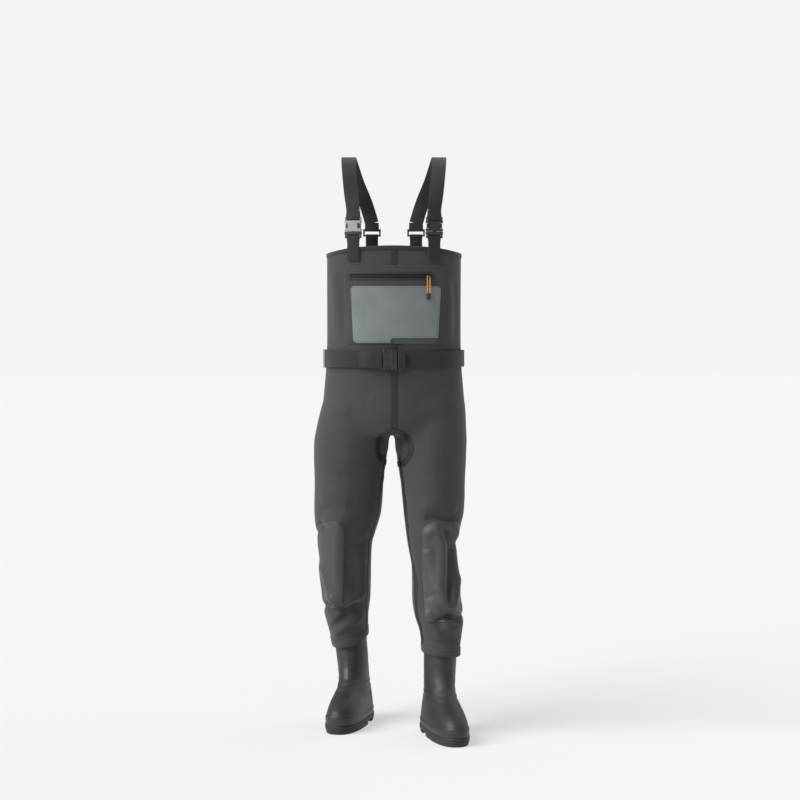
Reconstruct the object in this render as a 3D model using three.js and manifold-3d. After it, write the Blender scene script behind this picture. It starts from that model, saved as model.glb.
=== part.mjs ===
// Chest waders: a neoprene suit whose legs end in rubber boots, with a zipped chest pocket,
// a waist belt and two elastic shoulder straps that end in side-release buckles.
// Millimetres. +Z is up, the front faces -Y, and +X is the wearer's left.
// The waders stand as if worn, with the left boot a step ahead of the right.
import * as THREE from "three";
import { mergeVertices } from "three/addons/utils/BufferGeometryUtils.js";
import Module from "manifold-3d";

const wasm = await Module();
wasm.setup();

// ---- Driving dimensions ------------------------------------------------------------------
const GAP = 0.3; // clearance between pieces that touch
const WALL = 4; // neoprene thickness
const TAPE = 1.2; // seam tape thickness
const PANEL = 2.3; // pocket panel thickness
const PATCH = 1.3; // coated patch thickness on the pocket
const PAD = 1.8; // knee pad and cuff band thickness
const BINDING = 1.3; // edge binding thickness

const BIB_WIDTH = 362; // outside width of the bib
const BIB_DEPTH = 256; // outside depth of the bib
const CHEST_RADIUS = 330; // the flat curve across the chest, and across the back
const BIB_FRONT_TOP = 1303; // height of the bib edge at the centre front
const BIB_SIDE_TOP = 1283; // lowest point of the bib edge, under the arms
const BIB_BACK_TOP = 1290; // height of the bib edge at the centre back
const BINDING_HEIGHT = 10;
const WAIST = 1003; // height of the belt's centre line
const THIGH_CUT = 690; // seam between hip panels and leg tubes
const KNEE_CUT = 450; // seam between thigh and shin tubes

const BELT_HEIGHT = 44;
const BELT_THICK = 1.6;
const BELT_OFF = 2.6; // belt's inner face from the neoprene
const TAPE_WIDTH = 19;
const GUSSET = { z: 764, across: 53, high: 56, width: 14 };

const POCKET = { left: -130, right: 138, low: 1042, high: 1253, corner: 14 };
const ZIP = { left: -112, right: 98, z: 1223, width: 8, slider: 14 };
const WELT = { margin: 9, border: 6.6, thick: 1 };
// The slider's bridge: half its width, the height of its top over the slider's foot, and its wall.
const BRIDGE = { half: 1.5, top: 9.1, wall: 1.3 };
const PULL_CORD = { diameter: 2.6, spread: 3.6, length: 45 };
const PULL_GRIP = { width: 9, thick: 5, length: 17 };

const STRAP_X = 106; // strap centre at the bib
const STRAP_TOP_X = 121; // strap centre over the shoulder
const STRAP_BACK_X = 60; // strap centre at the back
const STRAP_TOP_Z = 1543;
const BUCKLE_Z = 1342; // height of the buckle's parting line
const RING_Z = 1352; // height of the bar that the strap hinges on
const ELASTIC = { width: 38, thick: 1.8 };
const WEBBING = { width: 34, thick: 1.5 };
const TAB_LOW = 1264;
const BACK_TAB_LOW = 1236;
const TAB_OFF = 1.9; // tab's inner face from the neoprene, over the binding
const RING = { bar: 2.2, drop: 16, post: 4, play: 2.4 };

const SHOULDER_BUCKLE = { width: ELASTIC.width + 8, webbing: ELASTIC.width + 1, thick: 11 };
const BELT_BUCKLE = { width: BELT_HEIGHT + 10, webbing: BELT_HEIGHT + 1, thick: 11 };
// A side-release buckle: lengths along the strap, walls, and the window that shows each arm's head.
const BUCKLE = { wall: 3.5, shell: 2.1, socket: 28, cavity: 24, bar: 4.5, slot: 5, tongue: 20, base: 9 };
const WINDOW = { from: 21.2, to: 6.8, deep: 9 };
const ARM = { length: 20, head: 13, inset: 10.4, recess: 1.8, inner: 1.7, outer: 1.8 };
const ARM_DEPTH = { strip: 2.4, head: 3 };
const KEEPER = { length: 12, thick: 2.2, backing: 1.4, play: 0.8, ahead: 24 };
const BELT_LOOP = { width: 22, side: 145, wall: 1.2, play: 3 };

const SHAFT_TOP = 290; // top of the rubber shaft, hidden in the leg
const ROOM = { w: 47, toe: 62, heel: 60, top: 59 }; // room for the shaft and the neoprene in the leg
const BOOT_WALL = 4;
const SOLE = 24; // height of the outsole's upper face
const TREAD = { pitch: 22, groove: 5.5, deep: 5, foreStart: -85, heelStart: 20.5 };
const BOOTS = {
  left: { x: 121, y: -75, lean: 0.03, yaw: 12, hem: 230 },
  right: { x: -107, y: 100, lean: -0.1, yaw: -12, hem: 208 },
};

// Section stations of the suit: hip half-width, half-depth and centre; leg centre, half-width,
// half-depth. The turn of a leg section follows the boot towards the hem.
const HIPS = [
  { z: 800, w: 170, d: 112, y: 4 },
  { z: 845, w: 188, d: 131, y: 4 },
  { z: 888, w: 191, d: 134, y: 4 },
  { z: 945, w: 186, d: 130, y: 2 },
  { z: WAIST, w: BIB_WIDTH / 2, d: BIB_DEPTH / 2, y: 0 },
];
const BIB_END = { ...HIPS[HIPS.length - 1], z: 1360 };
const LEGS = {
  left: [
    { z: 880, x: 103, y: 2, w: 90, d: 112 },
    { z: 780, x: 100, y: -4, w: 97, d: 110 },
    { z: 672, x: 104, y: -20, w: 88, d: 98 },
    { z: 586, x: 107, y: -36, w: 82, d: 88 },
    { z: 505, x: 101, y: -50, w: 65, d: 76 },
    { z: 450, x: 109, y: -58, w: 61, d: 73 },
    { z: 355, x: 115, y: -68, w: 66, d: 76 },
    { z: 315, x: 122, y: -73, w: 67, d: 74 },
    { z: 275, x: 126, y: -75, w: 57, d: 68 },
    { z: 225, x: 125, y: -76, w: 50, d: 64 },
    { z: 180, x: 123.5, y: -76, w: 50, d: 64 },
  ],
  right: [
    { z: 880, x: -103, y: 4, w: 91, d: 112 },
    { z: 780, x: -115, y: 8, w: 101, d: 110 },
    { z: 672, x: -121, y: 22, w: 94, d: 98 },
    { z: 582, x: -126, y: 36, w: 92, d: 90 },
    { z: 500, x: -135, y: 52, w: 75, d: 78 },
    { z: 450, x: -133, y: 62, w: 71, d: 75 },
    { z: 345, x: -131, y: 82, w: 67, d: 76 },
    { z: 300, x: -131, y: 93, w: 61, d: 72 },
    { z: 255, x: -125, y: 100, w: 54, d: 67 },
    { z: 205, x: -118, y: 101, w: 50, d: 65 },
    { z: 165, x: -114, y: 100, w: 50, d: 65 },
  ],
};

// ---- Materials ---------------------------------------------------------------------------
const material = (color, roughness, metalness = 0) =>
  new THREE.MeshStandardMaterial({ color, roughness, metalness });
const NEOPRENE = material(0x4b494c, 0.85);
const TAPE_BLACK = material(0x2b292e, 0.6);
const BINDING_NAVY = material(0x26242f, 0.8);
const COATED_GREY = material(0x7a8284, 0.55);
const COATED_DARK = material(0x3f4243, 0.4);
const LINING = material(0x55575a, 0.9);
const WEBBING_BLACK = material(0x28272b, 0.8);
const ELASTIC_BLACK = material(0x302d35, 0.9);
const PLASTIC_BLACK = material(0x3a3b3e, 0.45);
const PLASTIC_GREY = material(0x9a9b9c, 0.5);
const CORD_ORANGE = material(0xe8a232, 0.6);
const RUBBER_GREEN = material(0x3b3f3f, 0.45);
const RUBBER_SOLE = material(0x2c2f30, 0.6);
const INSOLE_FOAM = material(0x5a5c5f, 0.95);

// ---- Solid helpers -----------------------------------------------------------------------
const radians = THREE.MathUtils.degToRad;

function toSolid(geometry) {
  const bare = geometry.clone();
  bare.deleteAttribute("normal");
  bare.deleteAttribute("uv");
  const merged = mergeVertices(bare, 1e-4);
  const vertProperties = new Float32Array(merged.attributes.position.array);
  const triVerts = new Uint32Array(merged.index.array);
  return new wasm.Manifold(new wasm.Mesh({ numProp: 3, vertProperties, triVerts }));
}

function toGeometry(solid) {
  const { vertProperties, triVerts, numProp } = solid.getMesh();
  const geometry = new THREE.BufferGeometry();
  geometry.setAttribute("position", new THREE.BufferAttribute(vertProperties, numProp));
  geometry.setIndex(new THREE.BufferAttribute(triVerts, 1));
  geometry.computeVertexNormals();
  return geometry;
}

const joined = (solids) => solids.reduce((whole, next) => whole.add(next));

function block(x0, x1, y0, y1, z0, z1) {
  const geometry = new THREE.BoxGeometry(x1 - x0, y1 - y0, z1 - z0);
  return toSolid(geometry.translate((x0 + x1) / 2, (y0 + y1) / 2, (z0 + z1) / 2));
}

// A closed skin over rings of points, lowest ring first, each counterclockwise from above.
function loft(rings) {
  const count = rings[0].length;
  const points = rings.flat();
  const index = [];
  for (let row = 0; row + 1 < rings.length; row += 1) {
    for (let i = 0; i < count; i += 1) {
      const a = row * count + i;
      const b = row * count + ((i + 1) % count);
      index.push(a, b, b + count, a, b + count, a + count);
    }
  }
  const middle = (ring) => ring.reduce((sum, p) => sum.add(p), new THREE.Vector3()).divideScalar(count);
  const last = points.length - count;
  points.push(middle(rings[0]), middle(rings[rings.length - 1]));
  for (let i = 0; i < count; i += 1) {
    const next = (i + 1) % count;
    index.push(points.length - 2, next, i, points.length - 1, last + i, last + next);
  }
  const geometry = new THREE.BufferGeometry().setFromPoints(points);
  geometry.setIndex(index);
  return geometry;
}

// Stations with smooth in-between ones, no further apart than step.
function refine(stations, step) {
  const keys = Object.keys(stations[0]);
  const slope = (i, key) => {
    const before = stations[Math.max(i - 1, 0)];
    const after = stations[Math.min(i + 1, stations.length - 1)];
    return (after[key] - before[key]) / (after.z - before.z);
  };
  const fine = [stations[0]];
  for (let i = 0; i + 1 < stations.length; i += 1) {
    const [from, to] = [stations[i], stations[i + 1]];
    const span = to.z - from.z;
    const parts = Math.ceil(Math.abs(span) / step);
    for (let part = 1; part <= parts; part += 1) {
      const t = part / parts;
      const station = {};
      for (const key of keys) {
        const h01 = t * t * (3 - 2 * t);
        const bend = t * (1 - t) * ((1 - t) * slope(i, key) - t * slope(i + 1, key)) * span;
        station[key] = from[key] * (1 - h01) + to[key] * h01 + bend;
      }
      fine.push(station);
    }
  }
  return fine;
}

// A plan outline (x, z) pushed through the suit along Y, from y0 to y1.
function through(shape, y0 = -400, y1 = 0, curveSegments = 3) {
  const geometry = new THREE.ExtrudeGeometry(shape, { depth: y1 - y0, bevelEnabled: false, curveSegments });
  return toSolid(geometry.rotateX(Math.PI / 2).translate(0, y1, 0));
}

function roundedRect(left, right, low, high, r) {
  const shape = new THREE.Shape();
  shape.moveTo(left + r, low);
  shape.lineTo(right - r, low);
  shape.absarc(right - r, low + r, r, -Math.PI / 2, 0);
  shape.lineTo(right, high - r);
  shape.absarc(right - r, high - r, r, 0, Math.PI / 2);
  shape.lineTo(left + r, high);
  shape.absarc(left + r, high - r, r, Math.PI / 2, Math.PI);
  shape.lineTo(left, low + r);
  shape.absarc(left + r, low + r, r, Math.PI, Math.PI * 1.5);
  return shape;
}

// ---- The suit's skin ---------------------------------------------------------------------
// A torso section is a four-centred oval: two flat arcs, front and back, and two round sides.
function ovalRadii(w, d) {
  const side = (w * w + d * d - 2 * CHEST_RADIUS * d) / (2 * (w - CHEST_RADIUS));
  const turn = Math.atan2(w - side, CHEST_RADIUS - d);
  return { side, turn };
}

function ovalRing({ z, w, d, y }, offset) {
  const flatSteps = 10;
  const sideSteps = 12;
  const { side, turn } = ovalRadii(w, d);
  const ring = [];
  const arc = (cx, cy, r, from, to, steps) => {
    for (let i = 0; i < steps; i += 1) {
      const t = from + ((to - from) * i) / steps;
      ring.push(new THREE.Vector3(cx + r * Math.cos(t), y + cy + r * Math.sin(t), z));
    }
  };
  const quarter = Math.PI / 2;
  const flat = CHEST_RADIUS + offset;
  arc(0, CHEST_RADIUS - d, flat, -quarter - turn, -quarter + turn, flatSteps);
  arc(w - side, 0, side + offset, -quarter + turn, quarter - turn, sideSteps);
  arc(0, d - CHEST_RADIUS, flat, quarter - turn, quarter + turn, flatSteps);
  arc(side - w, 0, side + offset, quarter + turn, 3 * quarter - turn, sideSteps);
  return ring;
}

function legRing({ z, x, y, w, d }, offset, boot) {
  const steps = 24;
  const kneeToHem = THREE.MathUtils.clamp((KNEE_CUT - z) / (KNEE_CUT - boot.hem), 0, 1);
  const yaw = radians(boot.yaw) * kneeToHem;
  return Array.from({ length: steps }, (_, i) => {
    const t = (i / steps) * 2 * Math.PI;
    const point = new THREE.Vector3((w + offset) * Math.cos(t), (d + offset) * Math.sin(t), z);
    return point.applyAxisAngle(new THREE.Vector3(0, 0, 1), yaw).add(new THREE.Vector3(x, y, 0));
  });
}

const skins = new Map();
function skin(offset) {
  if (!skins.has(offset)) {
    const torso = [...refine(HIPS, 60), BIB_END].map((station) => ovalRing(station, offset));
    for (const point of torso[0]) point.z -= offset;
    const legs = ["left", "right"].map((side) => {
      const rings = refine(LEGS[side], 60).map((station) => legRing(station, offset, BOOTS[side]));
      return toSolid(loft(rings.reverse()));
    });
    skins.set(offset, joined([toSolid(loft(torso)), ...legs]));
  }
  return skins.get(offset);
}

// A layer on the skin between two offsets, within an outline seen from the front.
const layer = (inner, outer) => skin(outer).subtract(skin(inner));
const onFront = (shape, inner, outer) => layer(inner, outer).intersect(through(shape));

// Everything under the bib's upper edge, raised by rise.
function underEdge(rise) {
  const reach = 200;
  const steps = 8;
  const shape = new THREE.Shape();
  shape.moveTo(-reach, 0);
  shape.lineTo(-reach, BIB_FRONT_TOP + rise);
  for (let i = -steps; i <= steps; i += 1) {
    const share = i / steps;
    const top = share < 0 ? BIB_FRONT_TOP : BIB_BACK_TOP;
    const height = BIB_SIDE_TOP + (top - BIB_SIDE_TOP) * share * share + rise;
    shape.lineTo(share * (BIB_DEPTH / 2), height);
  }
  shape.lineTo(reach, BIB_BACK_TOP + rise);
  shape.lineTo(reach, 0);
  const geometry = new THREE.ExtrudeGeometry(shape, { depth: 600, bevelEnabled: false });
  return toSolid(geometry.rotateX(Math.PI / 2).rotateZ(Math.PI / 2).translate(-300, 0, 0));
}

// The place on the bib's skin at a given x: its depth, and how far its face turns outwards.
function bibPlace(x) {
  const { side, turn } = ovalRadii(BIB_WIDTH / 2, BIB_DEPTH / 2);
  const flatReach = CHEST_RADIUS * Math.sin(turn);
  if (Math.abs(x) <= flatReach) {
    const face = Math.asin(x / CHEST_RADIUS);
    return { x, y: CHEST_RADIUS * (1 - Math.cos(face)) - BIB_DEPTH / 2, face };
  }
  const face = Math.asin((Math.abs(x) - (BIB_WIDTH / 2 - side)) / side);
  return { x, y: -side * Math.cos(face), face: face * Math.sign(x) };
}

// ---- The group and what is put in it -----------------------------------------------------
const waders = new THREE.Group();

function add(name, geometry, look, parent = waders) {
  const mesh = new THREE.Mesh(geometry, look);
  mesh.name = name;
  parent.add(mesh);
  return mesh;
}

const addSolid = (name, solid, look, parent) => add(name, toGeometry(solid), look, parent);

// A frame on the bib: X along the chest, -Y outwards, Z up. The back frame faces the other way.
function frameAt(x, z, offset, back = false) {
  const place = bibPlace(x);
  const frame = new THREE.Group();
  const out = new THREE.Vector2(Math.sin(place.face), -Math.cos(place.face)).multiplyScalar(offset);
  const y = place.y + out.y;
  frame.position.set(x + out.x, back ? -y : y, z);
  frame.rotation.z = back ? Math.PI - place.face : place.face;
  waders.add(frame);
  return frame;
}

// ---- Neoprene suit -----------------------------------------------------------------------
function addSuit() {
  const shell = layer(-WALL, 0);
  const half = GAP / 2;
  const far = 400;
  const bib = shell.intersect(underEdge(0));
  addSolid("bib_front", bib.intersect(block(-far, far, -far, -half, WAIST + half, far * 4)), NEOPRENE);
  addSolid("bib_back", bib.intersect(block(-far, far, half, far, WAIST + half, far * 4)), NEOPRENE);
  const hips = [THIGH_CUT + half, WAIST - half];
  addSolid("hip_front", shell.intersect(block(-far, far, -far, -half, ...hips)), NEOPRENE);
  addSolid("hip_back", shell.intersect(block(-far, far, half, far, ...hips)), NEOPRENE);
  for (const [side, x0, x1] of [["left", 0, far], ["right", -far, 0]]) {
    const { hem } = BOOTS[side];
    const thigh = block(x0, x1, -far, far, KNEE_CUT + half, THIGH_CUT - half);
    addSolid(`thigh_${side}`, shell.intersect(thigh), NEOPRENE);
    const shin = block(x0, x1, -far, far, hem, KNEE_CUT - half);
    addSolid(`shin_${side}`, shell.intersect(shin), NEOPRENE);
    const band = block(x0, x1, -far, far, hem + 1, hem + 24);
    addSolid(`cuff_band_${side}`, layer(GAP, GAP + PAD).intersect(band), COATED_DARK);
  }
}

function addBinding() {
  const sleeve = layer(-WALL - GAP - BINDING, GAP + BINDING);
  const hollow = layer(-WALL - GAP, GAP).intersect(underEdge(GAP));
  const strip = sleeve.intersect(underEdge(GAP + BINDING)).subtract(underEdge(-BINDING_HEIGHT));
  addSolid("top_binding", strip.subtract(hollow), BINDING_NAVY);
}

function addSeamTapes() {
  const half = TAPE_WIDTH / 2;
  const gussetTop = GUSSET.z + GUSSET.high;
  const strip = (low, high) => roundedRect(-half, half, low, high, 0.5);
  const upper = strip(POCKET.high + GAP, BIB_FRONT_TOP - BINDING_HEIGHT - 2 * GAP);
  addSolid("front_tape_upper", onFront(upper, GAP, GAP + TAPE), TAPE_BLACK);
  const lower = strip(gussetTop + GAP, POCKET.low - GAP);
  addSolid("front_tape_lower", onFront(lower, GAP, GAP + TAPE), TAPE_BLACK);
  const ring = new THREE.Shape();
  ring.absellipse(0, GUSSET.z, GUSSET.across, GUSSET.high, 0, 2 * Math.PI);
  const opening = new THREE.Path();
  const inset = GUSSET.width;
  opening.absellipse(0, GUSSET.z, GUSSET.across - inset, GUSSET.high - inset, 0, 2 * Math.PI, true);
  ring.holes.push(opening);
  const tape = layer(GAP, GAP + TAPE).intersect(through(ring, -200, 200, 9));
  addSolid("gusset_tape", tape, TAPE_BLACK);
}

function kneeOutline(left, right, low, high) {
  const shape = new THREE.Shape();
  const middle = (left + right) / 2;
  const half = (right - left) / 2;
  const shoulder = high - half;
  shape.moveTo(left + half * 0.2, low);
  shape.lineTo(right - half * 0.2, low);
  shape.lineTo(right, shoulder);
  shape.absarc(middle, shoulder, half, 0, Math.PI);
  return shape;
}

function addKneePads() {
  const pads = {
    left: { outline: kneeOutline(72, 164, 300, 575), back: -62 },
    right: { outline: kneeOutline(-200, -120, 300, 565), back: 60 },
  };
  for (const [side, { outline, back }] of Object.entries(pads)) {
    const pad = layer(GAP, GAP + PAD).intersect(through(outline, -400, back));
    addSolid(`knee_pad_${side}`, pad, COATED_DARK);
  }
}

// ---- Chest pocket and zip ----------------------------------------------------------------
function patchOutline() {
  const shape = new THREE.Shape();
  const [top, foot, step] = [1197, 1046, 1059];
  shape.moveTo(-98, foot);
  shape.lineTo(-14, foot);
  shape.quadraticCurveTo(-5, foot, -2, foot + 6);
  shape.quadraticCurveTo(1, step, 10, step);
  shape.lineTo(104, step);
  shape.quadraticCurveTo(114, step, 115, step + 10);
  shape.lineTo(124, top - 10);
  shape.quadraticCurveTo(125, top, 114, top);
  shape.lineTo(-110, top);
  shape.quadraticCurveTo(-114, top, -114, top - 4);
  shape.lineTo(-112, foot + 14);
  shape.quadraticCurveTo(-111, foot, -98, foot);
  return shape;
}

function labelOutline() {
  const shape = new THREE.Shape();
  const [foot, top] = [1044, 1058];
  shape.moveTo(2, foot);
  shape.lineTo(108, foot);
  shape.lineTo(112, top);
  shape.lineTo(11, top);
  shape.quadraticCurveTo(3, top, 2, foot);
  return shape;
}

function addPocket() {
  const half = ZIP.width / 2;
  const slot = roundedRect(ZIP.left - half, ZIP.right + half, ZIP.z - half, ZIP.z + half, half - 0.1);
  const outline = roundedRect(POCKET.left, POCKET.right, POCKET.low, POCKET.high, POCKET.corner);
  const face = GAP + PANEL;
  const panel = onFront(outline, GAP, face).subtract(through(slot));
  addSolid("pocket_panel", panel, NEOPRENE);
  addSolid("pocket_patch", onFront(patchOutline(), face + GAP, face + GAP + PATCH), COATED_GREY);
  addSolid("label_panel", onFront(labelOutline(), face + GAP, face + GAP + WELT.thick), COATED_DARK);

  const rim = half + WELT.border;
  const [from, to] = [ZIP.left - WELT.margin, ZIP.right + WELT.margin];
  const welt = roundedRect(from, to, ZIP.z - rim, ZIP.z + rim, rim - 0.1);
  const open = half + 0.6;
  const gate = roundedRect(ZIP.left - open, ZIP.right + open, ZIP.z - open, ZIP.z + open, half);
  const frame = onFront(welt, face + GAP, face + GAP + WELT.thick).subtract(through(gate));
  addSolid("zip_welt", frame, COATED_DARK);

  const bagInner = -WALL - GAP;
  const bag = roundedRect(ZIP.left + 2, ZIP.right + 12, POCKET.low + 16, ZIP.z - 8, 12);
  const room = roundedRect(ZIP.left + 3, ZIP.right + 11, POCKET.low + 17, ZIP.z + 8, 11);
  const pouch = onFront(bag, bagInner - 3, bagInner).subtract(onFront(room, bagInner - 2.1, bagInner - 0.9));
  addSolid("pocket_bag", pouch, LINING);
}

function addZip() {
  const half = ZIP.width / 2;
  const face = GAP + PANEL;
  const tape = (low, high) => roundedRect(ZIP.left, ZIP.right, low, high, 0.5);
  addSolid("zip_tape_upper", onFront(tape(ZIP.z + GAP / 2, ZIP.z + half - GAP), GAP, face), WEBBING_BLACK);
  addSolid("zip_tape_lower", onFront(tape(ZIP.z - half + GAP, ZIP.z - GAP / 2), GAP, face), WEBBING_BLACK);

  // The slider rides over both tapes; its bridge holds the cord of the pull.
  const frame = frameAt(ZIP.right - ZIP.slider / 2 - 1, ZIP.z, face + 2 * GAP);
  const body = block(-ZIP.slider / 2, ZIP.slider / 2, -3, 0, -half, half);
  const bridge = block(-BRIDGE.half, BRIDGE.half, -BRIDGE.top, -2.9, -half + 0.2, half - 0.2);
  const eyeWall = BRIDGE.wall;
  const eye = block(-3, 3, eyeWall - BRIDGE.top, -3.6, -half + eyeWall, half - eyeWall);
  addSolid("zip_slider", body.add(bridge.subtract(eye)), PLASTIC_BLACK, frame);

  const eyeDepth = -5.45;
  const { spread, length, diameter } = PULL_CORD;
  const loop = new THREE.CurvePath();
  const corner = 3;
  const end = new THREE.Vector3(-spread, 0, -length);
  const points = [
    end,
    new THREE.Vector3(-spread, 0, -corner),
    new THREE.Vector3(-spread, 0, 0),
    new THREE.Vector3(-spread + corner, 0, 0),
    new THREE.Vector3(spread - corner, 0, 0),
    new THREE.Vector3(spread, 0, 0),
    new THREE.Vector3(spread, 0, -corner),
    new THREE.Vector3(spread, 0, -length),
  ];
  loop.add(new THREE.LineCurve3(points[0], points[1]));
  loop.add(new THREE.QuadraticBezierCurve3(points[1], points[2], points[3]));
  loop.add(new THREE.LineCurve3(points[3], points[4]));
  loop.add(new THREE.QuadraticBezierCurve3(points[4], points[5], points[6]));
  loop.add(new THREE.LineCurve3(points[6], points[7]));
  const round = new THREE.Shape();
  round.absarc(0, 0, diameter / 2, 0, 2 * Math.PI);
  const sweep = { extrudePath: loop, steps: 20, bevelEnabled: false, curveSegments: 4 };
  const cord = add("pull_cord", new THREE.ExtrudeGeometry(round, sweep), CORD_ORANGE, frame);
  cord.position.set(0, eyeDepth, 0);

  const { width, thick } = PULL_GRIP;
  const grip = new THREE.BoxGeometry(width + 2, thick, PULL_GRIP.length);
  grip.translate(0, 0, -length - GAP - PULL_GRIP.length / 2);
  add("pull_grip", grip, PLASTIC_BLACK, frame).position.set(0, eyeDepth, 0);
}

// ---- Side-release buckles ----------------------------------------------------------------
// Local axes: the plug pulls out towards +X, the thickness is along Y and the width along Z.
// The parting line is at x = 0.
function socketSolid({ width, webbing, thick }) {
  const [w, t] = [width / 2, thick / 2];
  const { wall, shell, socket, cavity, bar, slot } = BUCKLE;
  const length = socket + slot + bar;
  const body = block(-socket, 0, -t, t, -w, w);
  const room = block(-cavity, 1, -t + shell, t - shell, -w + wall, w - wall);
  const { from, to, deep } = WINDOW;
  const windows = [
    block(-from, -to, -t - 1, t + 1, w - deep, w + 1),
    block(-from, -to, -t - 1, t + 1, -w - 1, deep - w),
  ];
  const frame = block(-length, -socket + 1, -3, 3, -w, w);
  const eye = block(-socket - slot, -socket, -4, 4, -webbing / 2 - 0.6, webbing / 2 + 0.6);
  return body.subtract(room).subtract(joined(windows)).add(frame.subtract(eye));
}

function plugSolid({ width, webbing, thick }) {
  const [w, t] = [width / 2, thick / 2 - 0.5];
  const { base, bar, slot, tongue } = BUCKLE;
  const grip = block(0.6, base, -t, t, -w, w);
  const guide = block(-tongue, 1, -2.2, 2.2, -4, 4);
  const ladder = block(base - 1, base + slot + bar, -3, 3, -w, w);
  const eye = block(base, base + slot, -4, 4, -webbing / 2 - 0.6, webbing / 2 + 0.6);
  return grip.add(guide).add(ladder.subtract(eye));
}

// One sprung arm of the plug. Its own origin is where it bends, at the plug's base.
function armSolid({ width }, side) {
  const head = width / 2 - ARM.recess;
  const root = armRoot(width);
  const span = (a, b) => (side > 0 ? [a - root, b - root] : [root - b, root - a]);
  const across = span(root - ARM.inner, root + ARM.outer);
  const strip = block(-ARM.length, 0.7, -ARM_DEPTH.strip, ARM_DEPTH.strip, ...across);
  const ends = span(root - ARM.inner, head);
  const pad = block(-ARM.length, ARM.head - ARM.length, -ARM_DEPTH.head, ARM_DEPTH.head, ...ends);
  return strip.add(pad);
}
const armRoot = (width) => width / 2 - ARM.inset;

function addBuckle(prefix, size, looks, socketParent, plugParent) {
  addSolid(`${prefix}_socket`, socketSolid(size), looks.socket, socketParent);
  addSolid(`${prefix}_plug`, plugSolid(size), looks.plug, plugParent);
  for (const [name, side] of [["a", 1], ["b", -1]]) {
    const arm = addSolid(`${prefix}_arm_${name}`, armSolid(size, side), looks.plug, plugParent);
    arm.position.set(-0.5, 0, side * armRoot(size.width));
  }
}

// Webbing folded around a bar at the local origin: a tapered eye, and a doubled tail to +X.
function foldedEnd(barX, barY, thick, width, tail) {
  const clear = 0.45;
  const [ix, iy] = [barX + clear, barY + clear];
  const [ox, oy] = [ix + thick, iy + thick];
  const taper = 14;
  const shape = new THREE.Shape();
  shape.moveTo(tail, -thick);
  shape.lineTo(tail, thick);
  shape.lineTo(taper, thick);
  shape.lineTo(ix, oy);
  shape.lineTo(1 - ox, oy);
  shape.lineTo(-ox, oy - 1);
  shape.lineTo(-ox, 1 - oy);
  shape.lineTo(1 - ox, -oy);
  shape.lineTo(ix, -oy);
  shape.lineTo(taper, -thick);
  const eye = new THREE.Path();
  eye.moveTo(-ix, -iy);
  eye.lineTo(-ix, iy);
  eye.lineTo(ix, iy);
  eye.lineTo(taper - 4, 0);
  eye.lineTo(ix, -iy);
  shape.holes.push(eye);
  const geometry = new THREE.ExtrudeGeometry(shape, { depth: width, bevelEnabled: false });
  return geometry.translate(0, 0, -width / 2);
}

// ---- Shoulder straps ---------------------------------------------------------------------
// A flat band along a path; normals tell which way its face looks at each point.
function ribbon(points, normals, width, thick, steps) {
  const path = new THREE.CatmullRomCurve3(points, false, "centripetal");
  const facing = new THREE.CatmullRomCurve3(normals, false, "centripetal");
  const rings = [];
  for (let i = 0; i <= steps; i += 1) {
    const centre = path.getPoint(i / steps);
    const along = path.getTangent(i / steps);
    const across = new THREE.Vector3().crossVectors(along, facing.getPoint(i / steps)).normalize();
    const out = new THREE.Vector3().crossVectors(across, along).normalize();
    const corner = (s, t) => centre.clone().addScaledVector(across, s).addScaledVector(out, t);
    const [w, h] = [width / 2, thick / 2];
    rings.push([corner(-w, -h), corner(-w, h), corner(w, h), corner(w, -h)]);
  }
  return loft(rings);
}

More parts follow.
